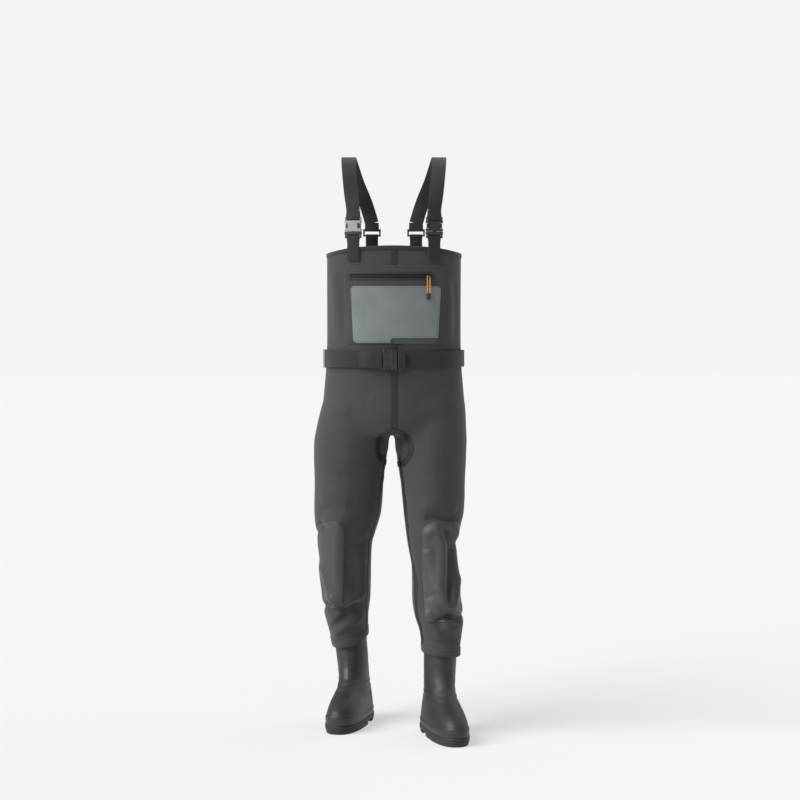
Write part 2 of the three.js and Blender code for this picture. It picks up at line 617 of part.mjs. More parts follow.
function addShoulderStrap(side, sign) {
  const hold = TAB_OFF + WEBBING.thick; // middle of the doubled tab, from the neoprene
  const barFront = BUCKLE.socket + BUCKLE.slot + BUCKLE.bar / 2;
  const front = frameAt(sign * STRAP_X, BUCKLE_Z, hold);
  const buckle = new THREE.Group();
  buckle.rotation.y = Math.PI / 2;
  front.add(buckle);
  const looks = { socket: sign < 0 ? PLASTIC_GREY : PLASTIC_BLACK, plug: PLASTIC_BLACK };
  addBuckle(`strap_${side}`, SHOULDER_BUCKLE, looks, buckle, buckle);

  const plugBar = BUCKLE.base + BUCKLE.slot + BUCKLE.bar / 2;
  const tab = foldedEnd(BUCKLE.bar / 2, 3, WEBBING.thick, WEBBING.width, BUCKLE_Z - plugBar - TAB_LOW);
  add(`bib_tab_${side}`, tab, WEBBING_BLACK, buckle).position.x = plugBar;

  // At the back a tab holds a rectangular ring, and the strap hinges on the ring's upper bar.
  const back = frameAt(sign * STRAP_BACK_X, RING_Z, hold, true);
  const ringWidth = ELASTIC.width + RING.play;
  const bar = (z) => {
    const rod = new THREE.CylinderGeometry(RING.bar, RING.bar, ringWidth + RING.post, 16);
    return toSolid(rod.rotateZ(Math.PI / 2).translate(0, 0, z));
  };
  const post = (s) => {
    const x = s * (ringWidth + RING.post) / 2;
    const half = RING.post / 2;
    return block(x - half, x + half, -RING.bar, RING.bar, -RING.drop - RING.bar, RING.bar);
  };
  addSolid(`back_ring_${side}`, joined([bar(0), bar(-RING.drop), post(-1), post(1)]), PLASTIC_BLACK, back);
  const backTab = new THREE.Group();
  backTab.rotation.y = Math.PI / 2;
  backTab.position.z = -RING.drop;
  back.add(backTab);
  const tail = RING_Z - RING.drop - BACK_TAB_LOW;
  const fold = foldedEnd(RING.bar, RING.bar, WEBBING.thick, WEBBING.width, tail);
  add(`back_tab_${side}`, fold, WEBBING_BLACK, backTab);

  // The elastic: an eye on the socket's bar, the band over the shoulder, an eye on the ring.
  const reach = 20;
  front.updateWorldMatrix(true, false);
  back.updateWorldMatrix(true, false);
  const eyeAt = (frame, z, barX, barY) => {
    const eye = foldedEnd(barX, barY, ELASTIC.thick, ELASTIC.width, reach);
    eye.rotateY(-Math.PI / 2).translate(0, 0, z);
    return toSolid(eye.applyMatrix4(frame.matrixWorld));
  };
  const startsAt = front.localToWorld(new THREE.Vector3(0, 0, barFront + reach - 2));
  const endsAt = back.localToWorld(new THREE.Vector3(0, 0, reach - 2));
  const frontFace = new THREE.Vector3(0, -1, 0).transformDirection(front.matrixWorld);
  const backFace = new THREE.Vector3(0, -1, 0).transformDirection(back.matrixWorld);
  const shoulder = [
    startsAt,
    new THREE.Vector3(startsAt.x + sign * 3, startsAt.y + 2, startsAt.z + 22),
    new THREE.Vector3(sign * (STRAP_TOP_X - 4), -88, STRAP_TOP_Z - 60),
    new THREE.Vector3(sign * STRAP_TOP_X, -48, STRAP_TOP_Z - 16),
    new THREE.Vector3(sign * STRAP_TOP_X, 0, STRAP_TOP_Z),
    new THREE.Vector3(sign * (STRAP_TOP_X - 6), 48, STRAP_TOP_Z - 17),
    new THREE.Vector3(sign * (STRAP_TOP_X - 22), 90, STRAP_TOP_Z - 66),
    new THREE.Vector3(endsAt.x + sign * 14, endsAt.y, endsAt.z + 46),
    endsAt,
  ];
  const faces = shoulder.map((point, i) => {
    const over = new THREE.Vector3(0, point.y, (point.z - endsAt.z) * 0.9);
    if (i < 2) return frontFace;
    return i > shoulder.length - 3 ? backFace : over.normalize();
  });
  const band = toSolid(ribbon(shoulder, faces, ELASTIC.width, ELASTIC.thick, 28));
  const eyes = [eyeAt(front, barFront, BUCKLE.bar / 2, 3), eyeAt(back, 0, RING.bar, RING.bar)];
  addSolid(`strap_${side}_elastic`, joined([band, ...eyes]), ELASTIC_BLACK);
}

// ---- Waist belt --------------------------------------------------------------------------
const HIP_LINE = { w: BIB_WIDTH / 2 + 5, d: BIB_DEPTH / 2 + 2 }; // widest section under the belt
const BELT_LEVEL = [WAIST - BELT_HEIGHT / 2, WAIST + BELT_HEIGHT / 2];
const BUCKLE_OFF = BELT_OFF + BELT_THICK + 0.5 + BELT_BUCKLE.thick / 2;

// A plan band around the suit at the belt's height, between two offsets.
function hoop(inner, outer, low, high) {
  const station = (offset, z) => ovalRing({ z, w: HIP_LINE.w, d: HIP_LINE.d, y: 0 }, offset);
  const drum = (offset, z0, z1) => toSolid(loft([station(offset, z0), station(offset, z1)]));
  return drum(outer, low, high).subtract(drum(inner, low - 1, high + 1));
}

// How far forward the hoop's front lies at a given x, on its flat arc or on its round side.
function hoopFront(x, offset) {
  const { side, turn } = ovalRadii(HIP_LINE.w, HIP_LINE.d);
  const flat = CHEST_RADIUS + offset;
  if (Math.abs(x) <= flat * Math.sin(turn)) return CHEST_RADIUS - HIP_LINE.d - Math.sqrt(flat * flat - x * x);
  const out = Math.abs(x) - (HIP_LINE.w - side);
  return -Math.sqrt((side + offset) ** 2 - out * out);
}

function addBelt() {
  const frame = frameAt(0, WAIST, BUCKLE_OFF + HIP_LINE.d - BIB_DEPTH / 2);
  addBuckle("belt", BELT_BUCKLE, { socket: PLASTIC_BLACK, plug: PLASTIC_BLACK }, frame, frame);

  const socketBar = -(BUCKLE.socket + BUCKLE.slot + BUCKLE.bar / 2);
  const plugBar = BUCKLE.base + BUCKLE.slot + BUCKLE.bar / 2;
  const ring = hoop(BELT_OFF, BELT_OFF + BELT_THICK, ...BELT_LEVEL);
  const gate = block(socketBar - 60, 7, -400, 0, 900, 1100);
  frame.updateWorldMatrix(true, false);
  const fold = foldedEnd(BUCKLE.bar / 2, 3, BELT_THICK, BELT_HEIGHT, 26);
  fold.rotateZ(Math.PI).translate(socketBar, 0, 0).applyMatrix4(frame.matrixWorld);
  const onHoop = (x) => hoopFront(x, BELT_OFF + BELT_THICK / 2);
  const buckleY = frame.position.y;
  const leadPoints = [
    new THREE.Vector3(socketBar - 18, buckleY, WAIST),
    new THREE.Vector3(socketBar - 38, (buckleY + onHoop(socketBar - 38)) / 2, WAIST),
    new THREE.Vector3(socketBar - 58, onHoop(socketBar - 58), WAIST),
    new THREE.Vector3(socketBar - 66, onHoop(socketBar - 66), WAIST),
  ];
  const outwards = leadPoints.map(() => new THREE.Vector3(0, -1, 0));
  const lead = ribbon(leadPoints, outwards, BELT_HEIGHT, BELT_THICK, 8);
  addSolid("belt_webbing", joined([ring.subtract(gate), toSolid(fold), toSolid(lead)]), WEBBING_BLACK);

  const eye = foldedEnd(BUCKLE.bar / 2, 3, BELT_THICK, BELT_HEIGHT, 15);
  add("belt_fold", eye, WEBBING_BLACK, frame).position.x = plugBar;

  const [low, high] = BELT_LEVEL;
  const { play, thick, backing, length, ahead } = KEEPER;
  const rim = play + thick;
  const outer = BELT_OFF + BELT_THICK;
  const keeperRing = hoop(BELT_OFF - play - backing, outer + rim, low - rim, high + rim);
  const keeperRoom = hoop(BELT_OFF - play, outer + play, low - play, high + play);
  const keeperSpan = block(-400, -100, -ahead - length, -ahead, 900, 1100);
  addSolid("belt_keeper", keeperRing.subtract(keeperRoom).intersect(keeperSpan), PLASTIC_GREY);

  const loop = BELT_LOOP;
  const loopRing = hoop(0.5, outer + 0.6 + loop.wall, low - 2 * loop.play, high + 2 * loop.play);
  const loopRoom = hoop(0.5 + loop.wall, outer + 0.6, low - loop.play, high + loop.play);
  for (const [name, x] of [["left", loop.side], ["right", -loop.side], ["back", 0]]) {
    const span = block(x - loop.width / 2, x + loop.width / 2, 0, 400, 900, 1100);
    addSolid(`belt_loop_${name}`, loopRing.subtract(loopRoom).intersect(span), NEOPRENE);
  }
}

// ---- Boots -------------------------------------------------------------------------------
// A boot section around the ankle line: toe and heel reach along -Y and +Y, half-width, and how
// square it is. The forefoot is wider than the heel.
const BOOT_UPPER = [
  { z: SOLE, toe: 222, heel: 71, w: 47, square: 2.7, flare: 0.2 },
  { z: 46, toe: 223, heel: 72, w: 47, square: 2.6, flare: 0.2 },
  { z: 66, toe: 210, heel: 71, w: 45, square: 2.5, flare: 0.17 },
  { z: 84, toe: 178, heel: 69, w: 43, square: 2.3, flare: 0.12 },
  { z: 102, toe: 122, heel: 67, w: 41, square: 2.1, flare: 0.05 },
  { z: 122, toe: 82, heel: 64, w: 40, square: 2, flare: 0 },
  { z: 150, toe: 64, heel: 60, w: 41, square: 2, flare: 0 },
  { z: 200, toe: ROOM.toe - WALL, heel: ROOM.heel - WALL, w: ROOM.w - WALL, square: 2, flare: 0 },
  { z: SHAFT_TOP, toe: ROOM.top - WALL, heel: ROOM.top - WALL, w: ROOM.w - WALL, square: 2, flare: 0 },
];

function bootRing({ z, toe, heel, w, square, flare }, grow, lean = 0) {
  const steps = 24;
  return Array.from({ length: steps }, (_, i) => {
    const t = (i / steps) * 2 * Math.PI;
    const power = 2 / square;
    const across = Math.sign(Math.cos(t)) * Math.abs(Math.cos(t)) ** power;
    const along = Math.sign(Math.sin(t)) * Math.abs(Math.sin(t)) ** power;
    const y = along * ((along < 0 ? toe : heel) + grow);
    const x = across * (w + grow) * (1 - (flare * y) / toe);
    return new THREE.Vector3(x + lean * z, y, z);
  });
}

const slab = (z0, z1, station, grow) =>
  toSolid(loft([bootRing({ ...station, z: z0 }, grow), bootRing({ ...station, z: z1 }, grow)]));

function addBoot(side) {
  const { x, y, lean, yaw } = BOOTS[side];
  const boot = new THREE.Group();
  boot.position.set(x, y, 0);
  boot.rotation.z = radians(yaw);
  waders.add(boot);
  const foot = BOOT_UPPER[0];

  const leanAt = (z) => (lean * Math.max(z - 100, 0)) / Math.max(z, 1);
  const outside = BOOT_UPPER.map((s) => bootRing(s, 0, leanAt(s.z)));
  const inside = BOOT_UPPER.map((s) => bootRing(s, -BOOT_WALL, leanAt(s.z)));
  for (const point of inside[0]) point.z += BOOT_WALL;
  for (const point of inside[inside.length - 1]) point.z += 1;
  const upper = toSolid(loft(outside)).subtract(toSolid(loft(inside)));
  addSolid(`boot_${side}_upper`, upper, RUBBER_GREEN, boot);

  // Outsole: a rimmed slab on a lugged forepart and a lugged heel block.
  const rim = slab(11, SOLE - GAP, foot, 3);
  const tread = slab(0, 11.5, foot, 1);
  const arch = block(-70, 70, -58, -4, -1, 11);
  const grooves = [];
  for (const [start, count] of [[TREAD.heelStart, 2], [TREAD.foreStart, 6]]) {
    const step = Math.sign(start) * TREAD.pitch;
    for (let i = 0; i < count; i += 1) {
      const y = start + i * step;
      grooves.push(block(-70, 70, y - TREAD.groove / 2, y + TREAD.groove / 2, -1, TREAD.deep));
    }
  }
  addSolid(`boot_${side}_outsole`, rim.add(tread.subtract(joined([arch, ...grooves]))), RUBBER_SOLE, boot);

  const insole = slab(SOLE + BOOT_WALL + GAP, SOLE + BOOT_WALL + 5, foot, -BOOT_WALL - 1);
  addSolid(`boot_${side}_insole`, insole, INSOLE_FOAM, boot);
}

// ---- Assembly ----------------------------------------------------------------------------
addSuit();
addBinding();
addSeamTapes();
addKneePads();
addPocket();
addZip();
addShoulderStrap("left", 1);
addShoulderStrap("right", -1);
addBelt();
addBoot("left");
addBoot("right");

// The origin is on the floor under the middle of the whole.
const bounds = new THREE.Box3().setFromObject(waders, true);
const centre = bounds.getCenter(new THREE.Vector3());
waders.position.set(-centre.x, -centre.y, -bounds.min.z);

export default waders;
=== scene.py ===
"""Chest waders: the finished look of a neoprene suit with rubber boots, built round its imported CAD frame.

Lengths are metres. +Z is up, the front faces -Y, and +X is the wearer's left.
"""
import math

import bmesh
import bpy
import numpy as np
from bpy.props import FloatProperty, FloatVectorProperty, IntProperty, PointerProperty
from mathutils import Matrix, Vector, noise
from mathutils.bvhtree import BVHTree


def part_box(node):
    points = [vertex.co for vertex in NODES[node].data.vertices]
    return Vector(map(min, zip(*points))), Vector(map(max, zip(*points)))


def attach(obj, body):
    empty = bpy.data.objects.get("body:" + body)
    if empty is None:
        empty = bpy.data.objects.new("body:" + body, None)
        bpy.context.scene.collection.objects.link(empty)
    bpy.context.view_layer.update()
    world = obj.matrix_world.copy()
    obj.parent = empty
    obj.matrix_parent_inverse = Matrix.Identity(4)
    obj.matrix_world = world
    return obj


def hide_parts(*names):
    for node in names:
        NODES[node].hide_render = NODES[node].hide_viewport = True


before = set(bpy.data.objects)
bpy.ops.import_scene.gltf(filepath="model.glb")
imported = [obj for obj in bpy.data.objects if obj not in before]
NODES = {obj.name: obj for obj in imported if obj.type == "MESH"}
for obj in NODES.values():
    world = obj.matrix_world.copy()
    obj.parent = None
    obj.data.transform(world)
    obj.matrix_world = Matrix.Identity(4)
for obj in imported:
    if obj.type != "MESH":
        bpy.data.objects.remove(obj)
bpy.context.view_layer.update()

bl_info = {
    "name": "Chest waders",
    "version": (1, 0, 0),
    "blender": (4, 5, 0),
    "location": "3D View > Sidebar > Waders",
    "description": "Builds chest waders round their packed frame, piece by piece",
    "category": "Object",
}

MM = 0.001
SHELL = (
    "bib_front", "bib_back", "hip_front", "hip_back",
    "thigh_left", "thigh_right", "shin_left", "shin_right",
)
SIDES = ("left", "right")


def middle(node):
    low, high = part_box(node)
    return (low + high) / 2


CENTRE = middle("top_binding")  # the torso's own axis in plan
HALF_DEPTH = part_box("bib_back")[1].y - CENTRE.y
BINDING_DROP = 10 * MM
BIB_FRONT_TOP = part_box("bib_front")[1].z
BIB_BACK_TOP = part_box("bib_back")[1].z
BIB_SIDE_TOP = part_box("top_binding")[0].z + BINDING_DROP
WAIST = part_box("bib_front")[0].z
LAYER_GAP = 0.3 * MM
PANEL = 2.3 * MM
PATCH = 1.3 * MM
TAPE = 1.2 * MM
PAD = 1.8 * MM
RIM_SHARE = 0.25  # how thick a laid piece is at its very edge
HARD_EDGE = 35  # degrees; a moulded piece's sharper edges are eased
NEAR = 0.02  # how far round a laid piece its patch of skin is copied
LEG_TOP = 0.80  # the flat pattern goes round the legs below this height
TORSO_RADIUS, LEG_RADIUS = 0.155, 0.078
BOOT_TOP_IN_LEG = 0.297
FRONT_FOLD, BACK_FOLD = 1.391, 1.366  # where the straps' elastic is sewn down
STRAP_PIVOT = 1.33

# Hem of each leg: height at the leg's axis, and its slope across (x) and fore and aft (y).
HEMS = {
    "left": {"height": 0.214, "across": -0.10, "along": 0.02},
    "right": {"height": 0.227, "across": 0.28, "along": 0.22},
}
BOOTS = {
    "left": {"x": 121 * MM, "y": -75 * MM, "lean": 0.03, "yaw": 12},
    "right": {"x": -107 * MM, "y": 100 * MM, "lean": -0.1, "yaw": -12},
}


# ---- Settings a user would change ---------------------------------------------------------
class WADERS_PG_sizes(bpy.types.PropertyGroup):
    """Sizes of the soft parts and of their small repeated pieces."""

    mesh: FloatProperty(name="Skin mesh", description="Edge length of the skin's mesh",
                        default=5.7 * MM, subtype="DISTANCE", unit="LENGTH")
    wall: FloatProperty(name="Neoprene", description="Thickness of the neoprene",
                        default=4 * MM, subtype="DISTANCE", unit="LENGTH")
    rounds: IntProperty(name="Smoothing", description="Smoothing rounds on the skin", default=18)
    fold: FloatProperty(name="Folds", description="Depth of the folds, 1 is as worn", default=1.0)
    stitch: FloatProperty(name="Stitch", description="Length of one stitch",
                          default=3.4 * MM, subtype="DISTANCE", unit="LENGTH")
    tooth: FloatProperty(name="Zip tooth", description="Pitch of the zip's teeth",
                         default=2.6 * MM, subtype="DISTANCE", unit="LENGTH")


def colour_property(name, value):
    return FloatVectorProperty(name=name, description=f"Colour of the {name.lower()}",
                               default=value, subtype="COLOR", size=3, min=0, max=1)


class WADERS_PG_colours(bpy.types.PropertyGroup):
    """Colours of the materials."""

    neoprene: colour_property("Neoprene", (0.050, 0.0485, 0.0525))
    coated_grey: colour_property("Pocket patch", (0.168, 0.190, 0.195))
    coated_dark: colour_property("Coated knees", (0.057, 0.0585, 0.060))
    tape: colour_property("Seam tape", (0.015, 0.0142, 0.0172))
    binding: colour_property("Edge binding", (0.0165, 0.0150, 0.0225))
    lining: colour_property("Lining", (0.095, 0.098, 0.103))
    webbing: colour_property("Webbing", (0.0120, 0.0115, 0.0132))
    elastic: colour_property("Elastic", (0.0140, 0.0130, 0.0168))
    plastic: colour_property("Black plastic", (0.020, 0.0205, 0.022))
    plastic_grey: colour_property("Grey plastic", (0.30, 0.305, 0.312))
    orange: colour_property("Orange cord", (0.83, 0.36, 0.035))
    rubber: colour_property("Boot rubber", (0.0260, 0.0268, 0.0280))
    sole: colour_property("Sole rubber", (0.0190, 0.0197, 0.0205))


def sizes():
    return bpy.context.scene.waders_sizes


def colours():
    return bpy.context.scene.waders_colours


# ---- Node tree helpers --------------------------------------------------------------------
def link(tree, node, outlet, target, inlet):
    tree.links.new(node.outputs[outlet], target.inputs[inlet])


def wire(tree, *links):
    """Several links, each as (node, outlet, target, inlet)."""
    for ends in links:
        link(tree, *ends)


def node_in(tree, kind, inputs=(), **settings):
    node = tree.nodes.new(kind)
    for name, value in settings.items():
        setattr(node, name, value)
    for name, value in dict(inputs).items():
        node.inputs[name].default_value = value
    return node


def group_tree(name, inputs, outputs, kind="ShaderNodeTree"):
    tree = bpy.data.node_groups.new(name, kind)
    for label, socket, value in inputs:
        made = tree.interface.new_socket(label, in_out="INPUT", socket_type=socket)
        if value is not None:
            made.default_value = value
    for label, socket in outputs:
        tree.interface.new_socket(label, in_out="OUTPUT", socket_type=socket)
    return tree, tree.nodes.new("NodeGroupInput"), tree.nodes.new("NodeGroupOutput")


def mottle_group():
    """Two sizes of soft blotches, mixed between two colours."""
    if "mottle" in bpy.data.node_groups:
        return bpy.data.node_groups["mottle"]
    tree, source, result = group_tree(
        "mottle",
        [("Vector", "NodeSocketVector", None), ("Scale", "NodeSocketFloat", 12.0),
         ("Low", "NodeSocketColor", (0, 0, 0, 1)), ("High", "NodeSocketColor", (1, 1, 1, 1))],
        [("Color", "NodeSocketColor"), ("Value", "NodeSocketFloat")],
    )
    broad = node_in(tree, "ShaderNodeTexNoise", {"Detail": 3.0, "Roughness": 0.55})
    fine = node_in(tree, "ShaderNodeTexNoise", {"Detail": 2.0, "Roughness": 0.6})
    finer = node_in(tree, "ShaderNodeMath", {1: 14.0}, operation="MULTIPLY")
    both = node_in(tree, "ShaderNodeMath", {1: 0.35}, operation="MULTIPLY_ADD")
    spread = node_in(tree, "ShaderNodeMapRange", {"From Min": 0.45, "From Max": 0.9})
    blend = node_in(tree, "ShaderNodeMix", data_type="RGBA")
    wire(
        tree, (source, "Vector", broad, "Vector"), (source, "Scale", broad, "Scale"),
        (source, "Scale", finer, 0), (source, "Vector", fine, "Vector"), (finer, 0, fine, "Scale"),
        (fine, 0, both, 0), (broad, 0, both, 2), (both, 0, spread, "Value"), (spread, 0, blend, "Factor"),
        (source, "Low", blend, 6), (source, "High", blend, 7), (blend, 2, result, "Color"),
        (spread, 0, result, "Value"),
    )
    return tree


def threads_group():
    """Crossed threads: sine ridges along both ways of a flat pattern, in metres."""
    if "threads" in bpy.data.node_groups:
        return bpy.data.node_groups["threads"]
    tree, source, result = group_tree(
        "threads",
        [("Vector", "NodeSocketVector", None), ("Across", "NodeSocketFloat", 0.002),
         ("Along", "NodeSocketFloat", 0.003), ("Cross", "NodeSocketFloat", 0.5)],
        [("Height", "NodeSocketFloat"), ("Mask", "NodeSocketFloat")],
    )
    parts = tree.nodes.new("ShaderNodeSeparateXYZ")
    link(tree, source, "Vector", parts, 0)

    def ridges(outlet, pitch):
        turns = node_in(tree, "ShaderNodeMath", operation="DIVIDE")
        angle = node_in(tree, "ShaderNodeMath", {1: 2 * math.pi}, operation="MULTIPLY")
        wave = node_in(tree, "ShaderNodeMath", operation="SINE")
        wire(
            tree, (parts, outlet, turns, 0), (source, pitch, turns, 1), (turns, 0, angle, 0),
            (angle, 0, wave, 0),
        )
        return wave

    across, along = ridges(0, "Across"), ridges(1, "Along")
    crossed = node_in(tree, "ShaderNodeMath", operation="MULTIPLY")
    share = node_in(tree, "ShaderNodeMath", operation="MULTIPLY")
    total = node_in(tree, "ShaderNodeMath", operation="ADD")
    scaled = node_in(tree, "ShaderNodeMapRange", {"From Min": -1.4, "From Max": 1.4})
    wire(
        tree, (across, 0, crossed, 0), (along, 0, crossed, 1), (crossed, 0, share, 0),
        (source, "Cross", share, 1), (across, 0, total, 0), (share, 0, total, 1),
        (total, 0, scaled, "Value"), (scaled, 0, result, "Height"), (scaled, 0, result, "Mask"),
    )
    return tree


def shade(colour, factor):
    return tuple(min(1.0, part * factor) for part in colour) + (1.0,)


def finish_material(name, colour, roughness, *, contrast=0.25, scale=14.0, vector="Object", threads=None,
                    bump=0.25, depth=0.4 * MM, rough_spread=0.08, peel=None, **constants):
    """One finish: blotches of colour, thread or peel relief, and roughness that follows them."""
    if name in bpy.data.materials:
        return bpy.data.materials[name]
    look = bpy.data.materials.new(name)
    look.use_nodes = True
    look.diffuse_color = shade(colour, 1.0)
    tree = look.node_tree
    surface = tree.nodes["Principled BSDF"]
    for label, value in constants.items():
        surface.inputs[label.replace("_", " ")].default_value = value
    place = tree.nodes.new("ShaderNodeTexCoord")
    blotches = node_in(tree, "ShaderNodeGroup", node_tree=mottle_group())
    blotches.inputs["Scale"].default_value = scale
    blotches.inputs["Low"].default_value = shade(colour, 1 - contrast)
    blotches.inputs["High"].default_value = shade(colour, 1 + contrast)
    link(tree, place, "Object", blotches, "Vector")
    tone, relief = blotches.outputs["Color"], None
    rough = node_in(tree, "ShaderNodeMapRange",
                    {"To Min": roughness - rough_spread, "To Max": roughness + rough_spread})
    link(tree, blotches, "Value", rough, "Value")
    link(tree, rough, 0, surface, "Roughness")
    if threads:
        across, along, cross, tint = threads
        cloth = node_in(tree, "ShaderNodeGroup", node_tree=threads_group())
        cloth.inputs["Across"].default_value = across
        cloth.inputs["Along"].default_value = along
        cloth.inputs["Cross"].default_value = cross
        link(tree, place, vector, cloth, "Vector")
        darker = node_in(tree, "ShaderNodeMix", data_type="RGBA", blend_type="MULTIPLY")
        darker.inputs[0].default_value = tint
        tree.links.new(tone, darker.inputs[6])
        tree.links.new(cloth.outputs["Mask"], darker.inputs[7])
        lift = node_in(tree, "ShaderNodeMix", data_type="RGBA", blend_type="MULTIPLY")
        lift.inputs[0].default_value = 1.0
        lift.inputs[7].default_value = (1 + tint * 0.6,) * 3 + (1,)
        tree.links.new(darker.outputs[2], lift.inputs[6])
        tone, relief = lift.outputs[2], cloth.outputs["Height"]
    tree.links.new(tone, surface.inputs["Base Color"])
    if peel:
        grain = node_in(tree, "ShaderNodeTexNoise", {"Scale": peel, "Detail": 3.0, "Roughness": 0.6})
        link(tree, place, "Object", grain, "Vector")
        if relief is None:
            relief = grain.outputs[0]
        else:
            add = node_in(tree, "ShaderNodeMath", operation="ADD")
            tree.links.new(relief, add.inputs[0])
            tree.links.new(grain.outputs[0], add.inputs[1])
            relief = add.outputs[0]
    if relief is not None:
        bumps = node_in(tree, "ShaderNodeBump", {"Strength": bump, "Distance": depth})
        tree.links.new(relief, bumps.inputs["Height"])
        link(tree, bumps, 0, surface, "Normal")
    return look


def finish(name, colour, roughness, tint=1.0, **settings):
    """A function that gives one material, made the first time it is asked for."""
    def look():
        shown = shade(getattr(colours(), colour), tint)[:3]
        return finish_material(name, shown, roughness, **settings)

    return look


neoprene = finish(
    "neoprene_knit", "neoprene", 0.86, contrast=0.13, scale=7.0, vector="UV",
    threads=(3.1 * MM, 4.4 * MM, 0.35, 0.30), peel=420.0, bump=0.30, depth=0.5 * MM, Sheen_Weight=0.18,
    Sheen_Roughness=0.45, Specular_IOR_Level=0.30)
neoprene_inside = finish(
    "neoprene_lining", "lining", 0.9, contrast=0.10, scale=9.0, vector="UV",
    threads=(2.2 * MM, 2.2 * MM, 1.0, 0.35), bump=0.3, Sheen_Weight=0.25)
coated_patch = finish(
    "coated_patch", "coated_grey", 0.60, contrast=0.10, scale=16.0, vector="UV",
    threads=(1.6 * MM, 1.6 * MM, 1.0, 0.12), peel=260.0, bump=0.22, Specular_IOR_Level=0.42)
coated_knee = finish(
    "coated_knee", "coated_dark", 0.50, contrast=0.14, scale=9.0, peel=300.0, bump=0.12,
    depth=0.35 * MM, rough_spread=0.07, Specular_IOR_Level=0.40)
seam_tape = finish(
    "seam_tape_film", "tape", 0.62, contrast=0.2, scale=22.0, peel=500.0, bump=0.16)
binding_cloth = finish(
    "binding_cloth", "binding", 0.80, contrast=0.2, scale=30.0, vector="UV",
    threads=(1.4 * MM, 1.9 * MM, 1.0, 0.5), bump=0.6, Sheen_Weight=0.2)
webbing_weave = finish(
    "webbing_weave", "webbing", 0.78, contrast=0.2, scale=40.0, vector="UV",
    threads=(3.0 * MM, 2.2 * MM, 1.1, 0.55), bump=0.7, depth=0.6 * MM, Sheen_Weight=0.2)
elastic_knit = finish(
    "elastic_knit", "elastic", 0.86, contrast=0.18, scale=30.0, vector="UV",
    threads=(2.4 * MM, 1.7 * MM, 0.7, 0.5), bump=0.7, depth=0.6 * MM, Sheen_Weight=0.3)
thread_dark = finish(
    "sewing_thread", "neoprene", 0.7, tint=0.55, contrast=0.2, scale=60.0, peel=1500.0, bump=0.3,
    Sheen_Weight=0.2)
plastic_black = finish(
    "moulded_plastic", "plastic", 0.42, contrast=0.16, scale=40.0, peel=900.0, bump=0.10,
    depth=0.2 * MM, Specular_IOR_Level=0.55)
plastic_grey = finish(
    "moulded_plastic_grey", "plastic_grey", 0.48, contrast=0.08, scale=40.0, peel=900.0, bump=0.10,
    depth=0.2 * MM)
cord_orange = finish(
    "braided_cord", "orange", 0.62, contrast=0.12, scale=60.0, vector="UV",
    threads=(1.3 * MM, 1.5 * MM, 1.3, 0.35), bump=0.8, depth=0.4 * MM)
boot_rubber = finish(
    "boot_upper_rubber", "rubber", 0.50, contrast=0.20, scale=13.0, peel=230.0, bump=0.14,
    depth=0.4 * MM, rough_spread=0.10, Specular_IOR_Level=0.5)
sole_rubber = finish(
    "outsole_rubber", "sole", 0.66, contrast=0.25, scale=25.0, peel=380.0, bump=0.25, depth=0.5 * MM)
insole_foam = finish(
    "insole_felt", "lining", 0.95, contrast=0.2, scale=30.0, peel=700.0, bump=0.5, depth=0.6 * MM)


# ---- Mesh helpers -------------------------------------------------------------------------
def object_from(name, bm, look):
    mesh = bpy.data.meshes.new(name)
    bm.to_mesh(mesh)
    bm.free()
    piece = bpy.data.objects.new(name, mesh)
    bpy.context.scene.collection.objects.link(piece)
    mesh.materials.append(look)
    return piece


def evaluated(piece):
    """The piece with its modifiers applied."""
    bpy.context.view_layer.update()
    graph = bpy.context.evaluated_depsgraph_get()
    mesh = bpy.data.meshes.new_from_object(piece.evaluated_get(graph), depsgraph=graph)
    piece.modifiers.clear()
    piece.data = mesh
    return piece


def mesh_points(mesh):
    points = np.empty(len(mesh.vertices) * 3)
    mesh.vertices.foreach_get("co", points)
    return points.reshape(-1, 3)


def modify(piece, kind, **settings):
    """Adds a modifier; evaluated() applies it."""
    made = piece.modifiers.new(kind.lower(), kind)
    for name, value in settings.items():
        setattr(made, name, value)


def place(piece, body, slot, *replaced):
    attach(piece, body)
    if replaced:
        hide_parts(*replaced)
    return piece


def smooth_shading(bm, angle):
    """Smooth faces, with edges sharper than the angle kept hard."""
    for face in bm.faces:
        face.smooth = True
    limit = math.radians(angle)
    for edge in bm.edges:
        edge.smooth = len(edge.link_faces) == 2 and edge.calc_face_angle(math.pi) < limit


def trim(bm, level):
    """Keeps the part of a sheet where level is below zero, with a clean edge along zero.
    Each kept vertex remembers how deep inside it is."""
    mark = bm.verts.layers.float.new("level")
    for vert in bm.verts:
        value = level(vert.co)
        vert[mark] = 0.0 if abs(value) < 1e-5 else value
    for edge in [e for e in bm.edges if e.verts[0][mark] * e.verts[1][mark] < 0]:
        start, end = edge.verts
        share = start[mark] / (start[mark] - end[mark])
        made = bmesh.utils.edge_split(edge, start, share)[1]
        made[mark] = 0.0
    for face in list(bm.faces):
        values = [v[mark] for v in face.verts]
        if min(values) < 0 < max(values):
            on_line = [v for v in face.verts if v[mark] == 0.0]
            if len(on_line) == 2:
                try:
                    bmesh.utils.face_split(face, on_line[0], on_line[1])
                except ValueError:
                    continue
    outside = [f for f in bm.faces if sum(v[mark] for v in f.verts) > 0]
    bmesh.ops.delete(bm, geom=outside, context="FACES")
    bmesh.ops.delete(bm, geom=[v for v in bm.verts if not v.link_faces], context="VERTS")
    return mark


